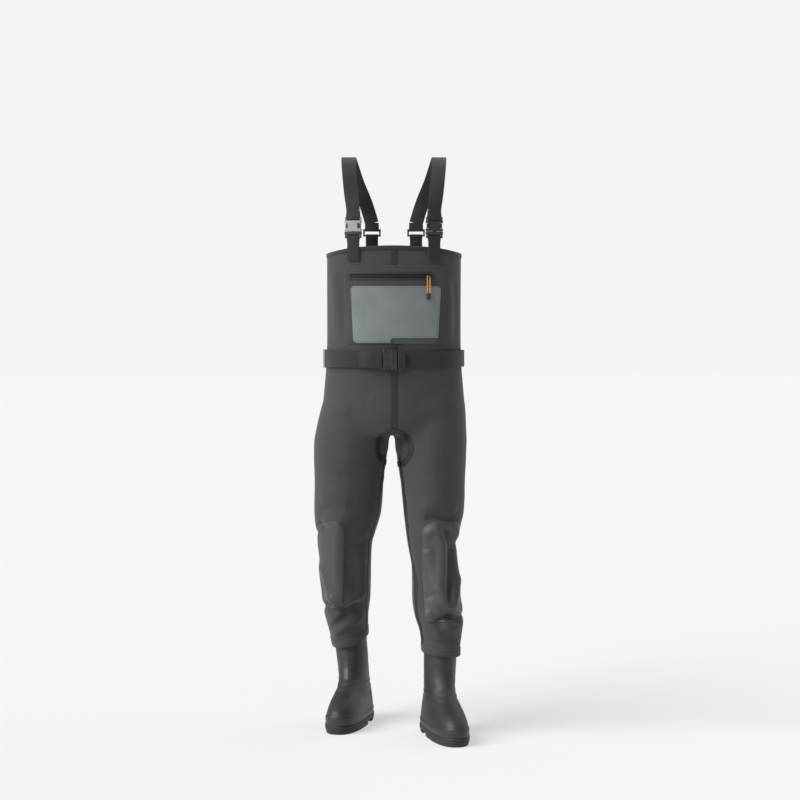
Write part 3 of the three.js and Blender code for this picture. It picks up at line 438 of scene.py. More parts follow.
def thicken(bm, inner, outer):
    """A closed slab from an open sheet, between the offsets inner and outer(vertex) along its normals."""
    bm.normal_update()
    bm.verts.index_update()
    verts, faces = list(bm.verts), list(bm.faces)
    layer = bm.loops.layers.uv.active
    slab = bmesh.new()
    slab_uv = slab.loops.layers.uv.new("UVMap")
    top = [slab.verts.new(v.co + v.normal * outer(v)) for v in verts]
    low = [slab.verts.new(v.co + v.normal * inner) for v in verts]
    for face in faces:
        ring = [v.index for v in face.verts]
        flat = [loop[layer].uv.copy() if layer else Vector((0, 0)) for loop in face.loops]
        for made, order in ((slab.faces.new([top[i] for i in ring]), flat),
                            (slab.faces.new([low[i] for i in reversed(ring)]), flat[::-1])):
            for loop, uv in zip(made.loops, order):
                loop[slab_uv].uv = uv
    for edge in [e for e in bm.edges if len(e.link_faces) == 1]:
        loop = edge.link_loops[0]
        a, b = loop.vert.index, loop.link_loop_next.vert.index
        made = slab.faces.new((top[b], top[a], low[a], low[b]))
        uvs = (loop.link_loop_next, loop, loop, loop.link_loop_next)
        if layer:
            for corner, source in zip(made.loops, uvs):
                corner[slab_uv].uv = source[layer].uv
    bm.free()
    return slab


def bridge_rings(bm, rings, flip=False):
    count = len(rings[0])
    for low, high in zip(rings, rings[1:]):
        for k in range(count):
            n = (k + 1) % count
            corners = (low[k], low[n], high[n], high[k])
            bm.faces.new(corners[::-1] if flip else corners)


def cap_ends(bm, rings):
    bm.faces.new(rings[0][::-1])
    bm.faces.new(rings[-1])


def tube_mesh(points, radius, sides):
    """A capped tube along points, with a pattern running along and round it."""
    bm = bmesh.new()
    uv = bm.loops.layers.uv.new("UVMap")
    points = [Vector(p) for p in points]
    side = None
    rings, lengths = [], [0.0]
    for i, point in enumerate(points):
        along = (points[min(i + 1, len(points) - 1)] - points[max(i - 1, 0)]).normalized()
        if side is None:
            side = along.orthogonal().normalized()
        side = (side - along * side.dot(along)).normalized()
        other = along.cross(side)
        ring = []
        for k in range(sides):
            turn = 2 * math.pi * k / sides
            reach = side * radius * math.cos(turn) + other * radius * math.sin(turn)
            ring.append(bm.verts.new(point + reach))
        rings.append(ring)
        if i:
            lengths.append(lengths[-1] + (point - points[i - 1]).length)
    for i in range(len(rings) - 1):
        for k in range(sides):
            n = (k + 1) % sides
            face = bm.faces.new((rings[i][k], rings[i][n], rings[i + 1][n], rings[i + 1][k]))
            around = 2 * math.pi * radius / sides
            spots = ((k, i), (k + 1, i), (k + 1, i + 1), (k, i + 1))
            for loop, (turn, row) in zip(face.loops, spots):
                loop[uv].uv = (turn * around, lengths[row])
    cap_ends(bm, rings)
    smooth_shading(bm, 50)
    return bm


def softened(node, name, look, bevel, body, slot):
    """A moulded or folded piece with the CAD node's own shape and eased edges."""
    bm = bmesh.new()
    bm.from_mesh(NODES[node].data)
    bmesh.ops.remove_doubles(bm, verts=bm.verts, dist=0.01 * MM)
    bmesh.ops.dissolve_limit(bm, angle_limit=math.radians(1.5), verts=bm.verts, edges=bm.edges)
    for face in bm.faces:
        face.smooth = True
    piece = object_from(name, bm, look)
    modify(piece, "BEVEL", width=bevel, segments=2, limit_method="ANGLE", angle_limit=math.radians(HARD_EDGE))
    evaluated(piece)
    bm = bmesh.new()
    bm.from_mesh(piece.data)
    bmesh.ops.triangulate(bm, faces=[f for f in bm.faces if len(f.verts) > 4])
    smooth_shading(bm, 30)
    bm.to_mesh(piece.data)
    bm.free()
    return place(piece, body, slot, node)


# ---- The suit's skin ----------------------------------------------------------------------
# A fold seen from one side: how far it stands out, its width to each side, and the points (x or y, z)
# it runs along, all in millimetres.
FOLDS = {
    "front": [
        # left leg, front: two long ridges that meet in a pinch, with a hollow between them
        (12, 15, (84, 536), (121, 548), (138, 508), (136, 450), (134, 395), (145, 335)),
        (11, 11, (170, 560), (177, 480), (178, 420), (163, 335)),
        (-13, 9, (150, 560), (156, 500), (157, 430), (155, 352)),
        (5, 17, (100, 500), (108, 440), (118, 380)),
        (-6, 12, (88, 450), (94, 405), (106, 365)),
        (-14, 8, (118, 308), (141, 319), (159, 320), (187, 311)),
        (-8, 7, (128, 352), (152, 323), (182, 296)),
        (10, 14, (140, 296), (162, 289), (182, 298)),
        (7, 11, (96, 335), (110, 305), (138, 276)),
        (-7, 8, (124, 300), (146, 270)),
        (-11, 11, (92, 578), (130, 584), (172, 572)),
        (6, 17, (85, 612), (130, 618), (178, 604)),
        (-9, 8, (80, 258), (125, 246), (180, 256)),
        (4, 12, (60, 560), (64, 470), (72, 400), (78, 330)),
        # right leg, front: one hard shin crease, an overhanging fold and two slanting ones below it
        (15, 30, (-136, 585), (-144, 500), (-145, 420), (-141, 338)),
        (-6, 16, (-112, 560), (-116, 470), (-112, 380)),
        (7, 9, (-178, 430), (-164, 378), (-146, 338)),
        (-5, 9, (-188, 400), (-178, 352)),
        (-14, 8, (-181, 334), (-151, 320), (-124, 316), (-85, 334)),
        (8, 12, (-170, 352), (-124, 340), (-80, 360)),
        (-11, 8, (-165, 262), (-124, 300), (-84, 320)),
        (6, 9, (-160, 290), (-135, 310)),
        (8, 10, (-156, 244), (-118, 276), (-78, 297)),
        (-5, 10, (-190, 590), (-160, 600), (-130, 588)),
        (4, 18, (-190, 628), (-150, 636), (-110, 622)),
        (5, 13, (-80, 470), (-76, 400), (-78, 350)),
        (-8, 11, (-198, 556), (-172, 546)),
        # bib and hips: soft upright waves beside the pocket, and drags under the belt
        (2.6, 11, (-152, 1240), (-146, 1150), (-140, 1060)),
        (-2.6, 10, (-132, 1230), (-124, 1140), (-122, 1060)),
        (-2, 9, (-168, 1200), (-166, 1080)),
        (2.6, 11, (150, 1240), (158, 1150), (150, 1060)),
        (-3, 9, (168, 1210), (176, 1120), (172, 1050)),
        (-3, 17, (-150, 960), (-100, 925), (-45, 905)),
        (-3, 17, (165, 960), (115, 915), (60, 885)),
        (2.5, 20, (155, 905), (120, 870)),
        (2.5, 20, (-150, 900), (-110, 865)),
        # thighs: soft drags that fan out from the gusset
        (-3, 16, (40, 800), (105, 838), (175, 850)),
        (-3, 16, (-25, 800), (-90, 838), (-160, 850)),
        (-2.5, 18, (40, 745), (90, 700), (150, 682)),
        (-2.5, 18, (-30, 745), (-80, 705), (-140, 690)),
        (2.5, 26, (110, 790), (120, 700), (118, 620)),
        (2.5, 26, (-110, 780), (-120, 700), (-128, 640)),
    ],
    "back": [
        # backs of the knees and calves
        (-8, 13, (50, 525), (105, 505), (165, 520)),
        (-5, 11, (50, 480), (105, 468), (160, 476)),
        (5, 14, (60, 560), (110, 552), (160, 565)),
        (5, 17, (70, 440), (120, 400), (170, 350)),
        (-8, 10, (80, 320), (130, 300), (178, 312)),
        (-5, 9, (90, 270), (130, 258), (170, 266)),
        (-8, 13, (-195, 520), (-130, 500), (-75, 512)),
        (-5, 11, (-190, 470), (-130, 462), (-80, 470)),
        (5, 14, (-190, 560), (-130, 548), (-80, 560)),
        (5, 17, (-175, 430), (-130, 385), (-90, 350)),
        (-8, 10, (-175, 330), (-125, 305), (-80, 318)),
        (-5, 9, (-160, 262), (-115, 270), (-78, 290)),
        (-4, 16, (30, 775), (90, 730), (160, 722)),
        (-4, 16, (-15, 775), (-80, 730), (-150, 722)),
        (-3, 15, (50, 690), (110, 668), (170, 672)),
        (-3, 15, (-40, 690), (-100, 668), (-160, 672)),
    ],
    "left": [
        # outer sides of the knees
        (-5, 12, (-30, 520), (20, 498), (60, 505)),
        (-7, 10, (-50, 330), (0, 312), (50, 326)),
        (4, 15, (-40, 420), (10, 390), (45, 345)),
    ],
    "right": [
        (-6, 12, (60, 548), (110, 520), (160, 512)),
        (-7, 10, (90, 340), (140, 318), (190, 330)),
        (4, 15, (90, 440), (140, 400), (180, 350)),
    ],
}
SHARP_FOLD = 30  # a fold this wide has a crease along its crown
VIEWS = {"front": (0, (0, -1, 0)), "back": (0, (0, 1, 0)), "left": (1, (1, 0, 0)), "right": (1, (-1, 0, 0))}


def polyline_distance(flat, points):
    """Distance of each flat point from a polyline, and how far along it the nearest place is, 0 to 1."""
    points = np.array(points, float)
    lengths = np.linalg.norm(np.diff(points, axis=0), axis=1)
    starts = np.concatenate([[0], np.cumsum(lengths)])
    best = np.full(len(flat), 1e9)
    along = np.zeros(len(flat))
    for a, b, length, start in zip(points, points[1:], lengths, starts):
        t = np.clip(((flat - a) @ (b - a)) / length**2, 0, 1)
        distance = np.linalg.norm(flat - (a + t[:, None] * (b - a)), axis=1)
        nearer = distance < best
        best[nearer] = distance[nearer]
        along[nearer] = ((start + t * length) / starts[-1])[nearer]
    return best, along


def smoothstep(low, high, value):
    t = np.clip((value - low) / (high - low), 0, 1)
    return t * t * (3 - 2 * t)


def folded(points, normals):
    """How far each skin point stands out, in metres."""
    lift = np.zeros(len(points))
    for view, folds in FOLDS.items():
        axis, outwards = VIEWS[view]
        facing = smoothstep(0.05, 0.55, normals @ np.array(outwards, float))
        for height, width, *line in folds:
            distance, along = polyline_distance(points[:, [axis, 2]], np.array(line) * MM)
            distance = distance / (width * MM)
            crease = width >= SHARP_FOLD
            shape = np.clip(1 - distance / 1.6, 0, 1) if crease else np.exp(-(distance**2))
            ends = smoothstep(0, 0.16, along + 0.06) * smoothstep(0, 0.16, 1.06 - along)
            lift += height * MM * shape * ends * facing
    for i, point in enumerate(points):
        low = smoothstep(0.95, 0.70, point[2])
        wave = noise.noise(Vector((point[0] * 9, point[1] * 9, point[2] * 4.5 + 3)))
        lift[i] += wave * (0.8 + 1.6 * low) * MM
    beside_boot = (lift < 0) & (points[:, 2] < BOOT_TOP_IN_LEG)
    lift[beside_boot] *= 0.55
    near_belt = np.exp(-(((points[:, 2] - WAIST) / 0.024) ** 2))
    lift += 1.5 * MM * near_belt
    return lift * sizes().fold


def outer_shell():
    """The outside of the suit's CAD shells, welded, carried past its openings and closed."""
    bm = bmesh.new()
    for name in SHELL:
        bm.from_mesh(NODES[name].data)
    bmesh.ops.remove_doubles(bm, verts=bm.verts, dist=0.01 * MM)
    tree = BVHTree.FromBMesh(bm)
    level_rays = [Vector(ray) for ray in ((1, 0, 0), (-1, 0, 0), (0, 1, 0), (0, -1, 0))]

    def faces_out(face):
        spot = face.calc_center_median()
        if spot.z > WAIST - 5 * MM:
            away = Vector((spot.x - CENTRE.x, spot.y - CENTRE.y, 0)).normalized()
            return face.normal.dot(away) > 0.35
        if spot.z < 0.26 and abs(face.normal.z) > 0.7:
            return False
        probe = spot + face.normal * MM
        return not all(tree.ray_cast(probe, ray)[0] for ray in level_rays)

    bmesh.ops.delete(bm, geom=[f for f in bm.faces if not faces_out(f)], context="FACES")
    bmesh.ops.remove_doubles(bm, verts=bm.verts, dist=0.4 * MM)
    rims = [e for e in bm.edges if len(e.link_faces) == 1]
    grown = bmesh.ops.extrude_edge_only(bm, edges=rims)["geom"]
    for vert in (g for g in grown if isinstance(g, bmesh.types.BMVert)):
        vert.co.z = 1.35 if vert.co.z > WAIST else vert.co.z - 50 * MM
    open_edges = [e for e in bm.edges if len(e.link_faces) == 1]
    bmesh.ops.holes_fill(bm, edges=open_edges, sides=0)
    bmesh.ops.triangulate(bm, faces=[f for f in bm.faces if len(f.verts) > 4])
    bmesh.ops.recalc_face_normals(bm, faces=bm.faces)
    return bm


class Skin:
    """The suit's finished outer surface: its open sheet, and a tree to find places on it."""

    sheet = None
    tree = None
    axes = {}


def leg_axes(points):
    """Each leg's own axis in plan at a ladder of heights."""
    levels = np.arange(0.19, LEG_TOP, 0.012)
    for side in SIDES:
        keep = points[:, 0] > CENTRE.x if side == "left" else points[:, 0] <= CENTRE.x
        centres = []
        for level in levels:
            band = points[keep & (np.abs(points[:, 2] - level) < 9 * MM)]
            centres.append((band[:, :2].min(0) + band[:, :2].max(0)) / 2)
        Skin.axes[side] = (levels, np.array(centres))


def leg_axis(side, z):
    levels, centres = Skin.axes[side]
    return float(np.interp(z, levels, centres[:, 0])), float(np.interp(z, levels, centres[:, 1]))


def side_of(x):
    return "left" if x > CENTRE.x else "right"


def hem_level(co):
    """How far a point lies under its leg's hem."""
    hem = HEMS[side_of(co.x)]
    x, y = leg_axis(side_of(co.x), hem["height"])
    return hem["height"] + hem["across"] * (co.x - x) + hem["along"] * (co.y - y) - co.z


def bib_edge(y):
    share = max(-1.0, min(1.0, (y - CENTRE.y) / HALF_DEPTH))
    top = BIB_FRONT_TOP if share < 0 else BIB_BACK_TOP
    return BIB_SIDE_TOP + (top - BIB_SIDE_TOP) * share * share


def suit_level(co):
    if co.z > WAIST:
        return co.z - bib_edge(co.y)
    return hem_level(co)


def lay_pattern(bm):
    """A flat pattern in metres: round the torso or the leg, and up."""
    uv = bm.loops.layers.uv.verify()
    for face in bm.faces:
        spot = face.calc_center_median()
        if spot.z > LEG_TOP:
            x, y, radius = CENTRE.x, CENTRE.y, TORSO_RADIUS
        else:
            x, y = leg_axis(side_of(spot.x), spot.z)
            radius = LEG_RADIUS
        base = math.atan2(spot.y - y, spot.x - x)
        for loop in face.loops:
            turn = math.atan2(loop.vert.co.y - y, loop.vert.co.x - x) - base
            turn = (turn + math.pi) % (2 * math.pi) - math.pi
            loop[uv].uv = ((base + turn) * radius, loop.vert.co.z)


def build_skin():
    piece = object_from("suit_form", outer_shell(), neoprene())
    modify(piece, "REMESH", mode="VOXEL", voxel_size=sizes().mesh)
    modify(piece, "SMOOTH", factor=0.5, iterations=sizes().rounds)
    mesh = evaluated(piece).data
    points = mesh_points(mesh)
    normals = np.empty(len(points) * 3)
    mesh.vertex_normals.foreach_get("vector", normals)
    normals = normals.reshape(-1, 3)
    points = points + normals * folded(points, normals)[:, None]
    mesh.vertices.foreach_set("co", points.ravel())
    modify(piece, "SMOOTH", factor=0.5, iterations=2)
    mesh = evaluated(piece).data
    leg_axes(mesh_points(mesh))
    bm = bmesh.new()
    bm.from_mesh(mesh)
    trim(bm, suit_level)
    lay_pattern(bm)
    bm.normal_update()
    bpy.data.objects.remove(piece)
    Skin.sheet = bm
    Skin.tree = BVHTree.FromBMesh(bm)


def on_skin(a, z, view="front", lift=0.0):
    """The place on the skin seen at (a, z) from one side, and the way it faces there."""
    axis, outwards = VIEWS[view]
    outwards = Vector(outwards)
    start = Vector((a, CENTRE.y, z)) if axis == 0 else Vector((CENTRE.x, a, z))
    start += outwards * 0.6
    spot, normal, _, _ = Skin.tree.ray_cast(start, -outwards)
    if spot is None:
        raise RuntimeError(f"no skin is seen from the {view} at {a:.3f}, {z:.3f}")
    return spot + normal * lift, normal


def sheet_near(near):
    """A copy of the skin's sheet, where near says so."""
    bm = Skin.sheet.copy()
    far = [f for f in bm.faces if not near(f.calc_center_median(), f.normal)]
    bmesh.ops.delete(bm, geom=far, context="FACES")
    bm.verts.layers.float.remove(bm.verts.layers.float["level"])
    return bm


def drape(name, level, near, inner, thick, look, slot, *replaced, edge, refine=1):
    """A flat piece laid on the skin: its outline is where level is zero, and its edges are eased."""
    bm = sheet_near(near)
    for _ in range(refine):
        bmesh.ops.subdivide_edges(bm, edges=bm.edges, cuts=1, use_grid_fill=True, smooth=0.6)
    mark = trim(bm, level)

    def outer(vert):
        depth = min(1.0, max(0.0, -vert[mark] / edge))
        eased = math.sqrt(max(0.0, 1 - (1 - depth) ** 2))
        return inner + thick * (RIM_SHARE + (1 - RIM_SHARE) * eased)

    slab = thicken(bm, inner, outer)
    smooth_shading(slab, 60)
    return place(object_from(name, slab, look), "suit", slot, *replaced)


# ---- Outlines on the skin, negative inside ------------------------------------------------
def rounded_box(x, z, left, right, low, high, corner):
    dx = abs(x - (left + right) / 2) - (right - left) / 2 + corner
    dz = abs(z - (low + high) / 2) - (high - low) / 2 + corner
    return math.hypot(max(dx, 0), max(dz, 0)) + min(max(dx, dz), 0) - corner


def box_of(node, margin=0.0):
    low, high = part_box(node)
    return low.x - margin, high.x + margin, low.z - margin, high.z + margin


def box_outline(node, corner, margin=0.0):
    left, right, low, high = box_of(node, margin)
    return lambda co: rounded_box(co.x, co.z, left, right, low, high, corner)


def in_front(node):
    left, right, low, high = box_of(node, 15 * MM)
    return lambda spot, normal: left < spot.x < right and low < spot.z < high and normal.y < 0.1


def along_line(points, half):
    """A band of even width along a line seen from the front or the back."""
    def level(co):
        distance, _ = polyline_distance(np.array([[co.x, co.z]]), points)
        return float(distance[0]) - half

    return level


# ---- Rows of small repeated pieces --------------------------------------------------------
def row_tree(name, shape):
    """Geometry Nodes: equal small pieces set at a pitch along paths that carry an outward direction."""
    if name in bpy.data.node_groups:
        return bpy.data.node_groups[name]
    tree, source, result = group_tree(
        name,
        [("Geometry", "NodeSocketGeometry", None), ("Pitch", "NodeSocketFloat", 5 * MM),
         ("Length", "NodeSocketFloat", 3.4 * MM), ("Width", "NodeSocketFloat", 0.7 * MM),
         ("Height", "NodeSocketFloat", 0.6 * MM), ("Material", "NodeSocketMaterial", None)],
        [("Geometry", "NodeSocketGeometry")],
        kind="GeometryNodeTree",
    )
    curve = tree.nodes.new("GeometryNodeMeshToCurve")
    even = node_in(tree, "GeometryNodeResampleCurve", mode="LENGTH")
    tangent = tree.nodes.new("GeometryNodeInputTangent")
    outwards = node_in(tree, "GeometryNodeInputNamedAttribute", data_type="FLOAT_VECTOR")
    outwards.inputs["Name"].default_value = "out"
    face = node_in(tree, "FunctionNodeAlignEulerToVector", axis="Z")
    turn = node_in(tree, "FunctionNodeAlignEulerToVector", axis="Y", pivot_axis="Z")
    spots = tree.nodes.new("GeometryNodeInstanceOnPoints")
    size = tree.nodes.new("ShaderNodeCombineXYZ")
    real = tree.nodes.new("GeometryNodeRealizeInstances")
    paint = tree.nodes.new("GeometryNodeSetMaterial")
    if shape == "bead":
        bead = node_in(tree, "GeometryNodeMeshUVSphere", {"Segments": 8, "Rings": 5, "Radius": 0.5})
    else:
        bead = node_in(tree, "GeometryNodeMeshCube", {"Size": (1, 1, 1)})
    wire(
        tree, (source, "Geometry", curve, "Mesh"), (curve, "Curve", even, "Curve"),
        (source, "Pitch", even, "Length"), (even, "Curve", spots, "Points"),
        (bead, "Mesh", spots, "Instance"), (outwards, 0, face, "Vector"),
        (face, "Rotation", turn, "Rotation"), (tangent, "Tangent", turn, "Vector"),
        (turn, "Rotation", spots, "Rotation"), (source, "Width", size, "X"),
        (source, "Length", size, "Y"), (source, "Height", size, "Z"), (size, 0, spots, "Scale"),
        (spots, "Instances", real, "Geometry"), (real, "Geometry", paint, "Geometry"),
        (source, "Material", paint, "Material"), (paint, "Geometry", result, "Geometry"),
    )
    return tree


def row_pieces(name, paths, look, body, slot, pitch, length, width, height, shape="bead"):
    """One piece of stitches or teeth. Each path is a list of (place, outward direction)."""
    mesh = bpy.data.meshes.new(name)
    points, edges, outs = [], [], []
    for path in paths:
        for i, (spot, outward) in enumerate(path):
            if i:
                edges.append((len(points) - 1, len(points)))
            points.append(spot)
            outs.append(outward)
    mesh.from_pydata(points, edges, [])
    kept = mesh.attributes.new("out", "FLOAT_VECTOR", "POINT")
    kept.data.foreach_set("vector", np.array(outs, float).ravel())
    piece = bpy.data.objects.new(name, mesh)
    bpy.context.scene.collection.objects.link(piece)
    rows = piece.modifiers.new("rows", "NODES")
    tree = row_tree(f"row_of_{shape}s", shape)
    rows.node_group = tree
    values = {"Pitch": pitch, "Length": length, "Width": width, "Height": height, "Material": look}
    for item in tree.interface.items_tree:
        if item.in_out == "INPUT" and item.name in values:
            rows[item.identifier] = values[item.name]
    evaluated(piece)
    if not piece.data.materials:
        piece.data.materials.append(look)
    if shape == "bead":
        piece.data.shade_smooth()
    if len(piece.data.polygons) == 0:
        raise RuntimeError(f"{name} came out empty")
    return place(piece, body, slot)


def stitches(name, paths, body, slot, fine=False):
    """Rows of sewing thread: the suit's long stitch, or the straps' fine one."""
    long_stitch = (5.0 * MM, sizes().stitch, 0.8 * MM, 0.6 * MM)
    size = (3.6 * MM, 2.7 * MM, 0.7 * MM, 0.7 * MM) if fine else long_stitch
    row_pieces(name, paths, thread_dark(), body, slot, *size)


def skin_path(points, lift, step=6 * MM):
    """A line on the front of the skin through flat points (x, z)."""
    path = []
    for (a0, z0), (a1, z1) in zip(points, points[1:]):
        parts = max(1, round(math.hypot(a1 - a0, z1 - z0) / step))
        for i in range(parts):
            t = i / parts
            path.append(on_skin(a0 + (a1 - a0) * t, z0 + (z1 - z0) * t, lift=lift))
    path.append(on_skin(*points[-1], lift=lift))
    return path


def rounded_ring(left, right, low, high, corner, arc=5):
    """A closed rounded rectangle as flat points."""
    ring = []
    for cx, cz, start in ((right - corner, high - corner, 0), (left + corner, high - corner, 90),
                          (left + corner, low + corner, 180), (right - corner, low + corner, 270)):
        for i in range(arc + 1):
            turn = math.radians(start + 90 * i / arc)
            ring.append((cx + corner * math.cos(turn), cz + corner * math.sin(turn)))
    return ring + ring[:1]


# ---- Operators: one for each piece or group of like pieces ---------------------------------
class WADERS_OT_suit(bpy.types.Operator):
    """Make the neoprene suit: one continuous folded skin with its wall and lining"""

    bl_idname = "waders.suit"
    bl_label = "Suit"

    def execute(self, context):
        build_skin()
        wall = sizes().wall
        bm = Skin.sheet.copy()
        outer_faces = len(bm.faces)
        slab = thicken(bm, -wall, lambda vert: 0.0)
        smooth_shading(slab, 60)
        slab.faces.ensure_lookup_table()
        for index in range(outer_faces):
            slab.faces[2 * index + 1].material_index = 1
        piece = object_from("suit_skin", slab, neoprene())
        piece.data.materials.append(neoprene_inside())
        place(piece, "suit", "neoprene", *SHELL)
        return {"FINISHED"}


def top_edge():
    """The skin's upper rim as an even loop of places with their outward directions."""
    rim = [e for e in Skin.sheet.edges if len(e.link_faces) == 1 and e.verts[0].co.z > WAIST]
    found = {}
    for edge in rim:
        for vert in edge.verts:
            turn = math.atan2(vert.co.y - CENTRE.y, vert.co.x - CENTRE.x)
            found[vert] = turn
    ordered = sorted(found, key=found.get)
    turns = np.array([found[v] for v in ordered])
    places = np.array([v.co for v in ordered])
    faces = np.array([v.normal for v in ordered])
    steps = 420
    even = np.linspace(-math.pi, math.pi, steps, endpoint=False)
    stack = [np.interp(even, turns, column, period=2 * math.pi) for column in (*places.T, *faces.T)]
    for _ in range(6):
        stack = [(np.roll(c, 1) + 2 * c + np.roll(c, -1)) / 4 for c in stack]
    loop = []
    for x, y, z, nx, ny, _ in zip(*stack):
        loop.append((Vector((x, y, z)), Vector((nx, ny, 0)).normalized()))
    return loop


class WADERS_OT_binding(bpy.types.Operator):
    """Fold the cloth binding over the suit's upper edge and stitch it"""

    bl_idname = "waders.binding"
    bl_label = "Edge binding"

    def execute(self, context):
        loop = top_edge()
        wall = sizes().wall
        out, thick, drop = LAYER_GAP, 1.3 * MM, BINDING_DROP
        inner = -wall - LAYER_GAP
        # the strip's section, once round: (outwards, upwards)
        section = [
            (out, -drop), (out + thick * 0.5, -drop - 0.3 * MM), (out + thick, -drop + 0.4 * MM),
            (out + thick * 1.15, -drop * 0.5), (out + thick, -0.5 * MM), (out + thick * 0.4, thick),
            (-wall * 0.3, thick * 1.25), (-wall * 0.7, thick * 1.25), (inner - thick * 0.4, thick),
            (inner - thick, -0.5 * MM), (inner - thick, -drop * 0.5), (inner - thick, -drop + 0.4 * MM),
            (inner - thick * 0.5, -drop - 0.3 * MM), (inner, -drop), (inner, -drop * 0.5), (inner, LAYER_GAP),
            (out, LAYER_GAP), (out, -drop * 0.5),
        ]
        bm = bmesh.new()
        uv = bm.loops.layers.uv.new("UVMap")
        rows, runs, run = [], [], 0.0
        for i, (spot, outward) in enumerate(loop):
            pucker = 0.12 * MM * math.sin(i * 1.1) + 0.08 * MM * math.sin(i * 2.3)
            rows.append([bm.verts.new(spot + outward * (a + (pucker if a > 0 else 0)) + Vector((0, 0, b)))
                         for a, b in section])
            runs.append(run)
            run += (loop[(i + 1) % len(loop)][0] - spot).length
        runs.append(run)
        count = len(section)
        for i, row in enumerate(rows):
            after = rows[(i + 1) % len(rows)]
            for k in range(count):
                n = (k + 1) % count
                face = bm.faces.new((row[k], after[k], after[n], row[n]))
                for corner, spot in zip(face.loops, ((k, i), (k, i + 1), (k + 1, i + 1), (k + 1, i))):
                    corner[uv].uv = (spot[0] * 1.3 * MM, runs[spot[1]])
        bmesh.ops.recalc_face_normals(bm, faces=bm.faces)
        smooth_shading(bm, 70)
        place(object_from("edge_binding", bm, binding_cloth()), "suit", "binding", "top_binding")
        closed = loop + loop[:1]
        seam = [(spot + outward * (out + thick * 1.2) + Vector((0, 0, 2 * MM - drop)), outward)
                for spot, outward in closed]
        stitches("binding_stitches", [seam], "suit", "binding")
        return {"FINISHED"}


class WADERS_OT_tapes(bpy.types.Operator):
    """Lay the seam tapes: centre front, gusset ring, inside legs and centre back"""

    bl_idname = "waders.tapes"
    bl_label = "Seam tapes"

    def execute(self, context):
        look = seam_tape()
        gap = LAYER_GAP * 0.4

        def lay(name, level, near, *replaced):
            drape(name, level, near, gap, TAPE, look, "seam_tape", *replaced, edge=1.2 * MM)

        lay("front_tape_top", box_outline("front_tape_upper", 0.6 * MM), in_front("front_tape_upper"),
            "front_tape_upper")
        lay("front_tape_fly", box_outline("front_tape_lower", 0.6 * MM), in_front("front_tape_lower"),
            "front_tape_lower")
        low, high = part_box("gusset_tape")
        spot = (low + high) / 2
        width = 14 * MM
        across, up = (high.x - low.x - width) / 2, (high.z - low.z - width) / 2

        def ring(co):
            share = math.hypot((co.x - spot.x) / across, (co.z - spot.z) / up)
            return abs(share - 1) * min(across, up) - width / 2

        def near_ring(place, normal):
            return low.z - NEAR < place.z < high.z + NEAR and abs(place.x - spot.x) < 0.085

        lay("gusset_ring", ring, near_ring, "gusset_tape")
        back = along_line([(spot.x, high.z - 3 * MM), (spot.x, BIB_BACK_TOP - 11 * MM)], 9.5 * MM)
        lay("back_tape", lambda co: max(back(co), co.z - BIB_BACK_TOP + 11 * MM),
            lambda place, normal: normal.y > 0.2 and abs(place.x - spot.x) < 0.03 and place.z > high.z - NEAR)
        for side in SIDES:
            self.lay_inseam(lay, side, spot.z - 20 * MM)
        return {"FINISHED"}

    def lay_inseam(self, lay, side, top):
        """A tape down the inside of a leg. It wanders a little where the leg folds."""
        hem = HEMS[side]["height"] + 26 * MM
        inner_turn = math.pi if side == "left" else 0.0

        def level(co):
            x, y = leg_axis(side, co.z)
            wave = 0.20 * math.sin((co.z - 0.30) / 0.055) * smoothstep(0.52, 0.40, co.z)
            seam = inner_turn + (0.45 + wave if side == "left" else -0.30 - wave)
            turn = math.atan2(co.y - y, co.x - x) - seam
            turn = (turn + math.pi) % (2 * math.pi) - math.pi
            across = abs(turn) * math.hypot(co.x - x, co.y - y) - 8.5 * MM
            return max(across, co.z - top, hem - co.z)

        def near(place, normal):
            x, _ = leg_axis(side, place.z)
            inward = (CENTRE.x - x) / abs(CENTRE.x - x)
            return (hem - NEAR < place.z < top + NEAR and side_of(place.x) == side
                    and normal.x * inward > -0.1)

        lay(f"inseam_tape_{side}", level, near)


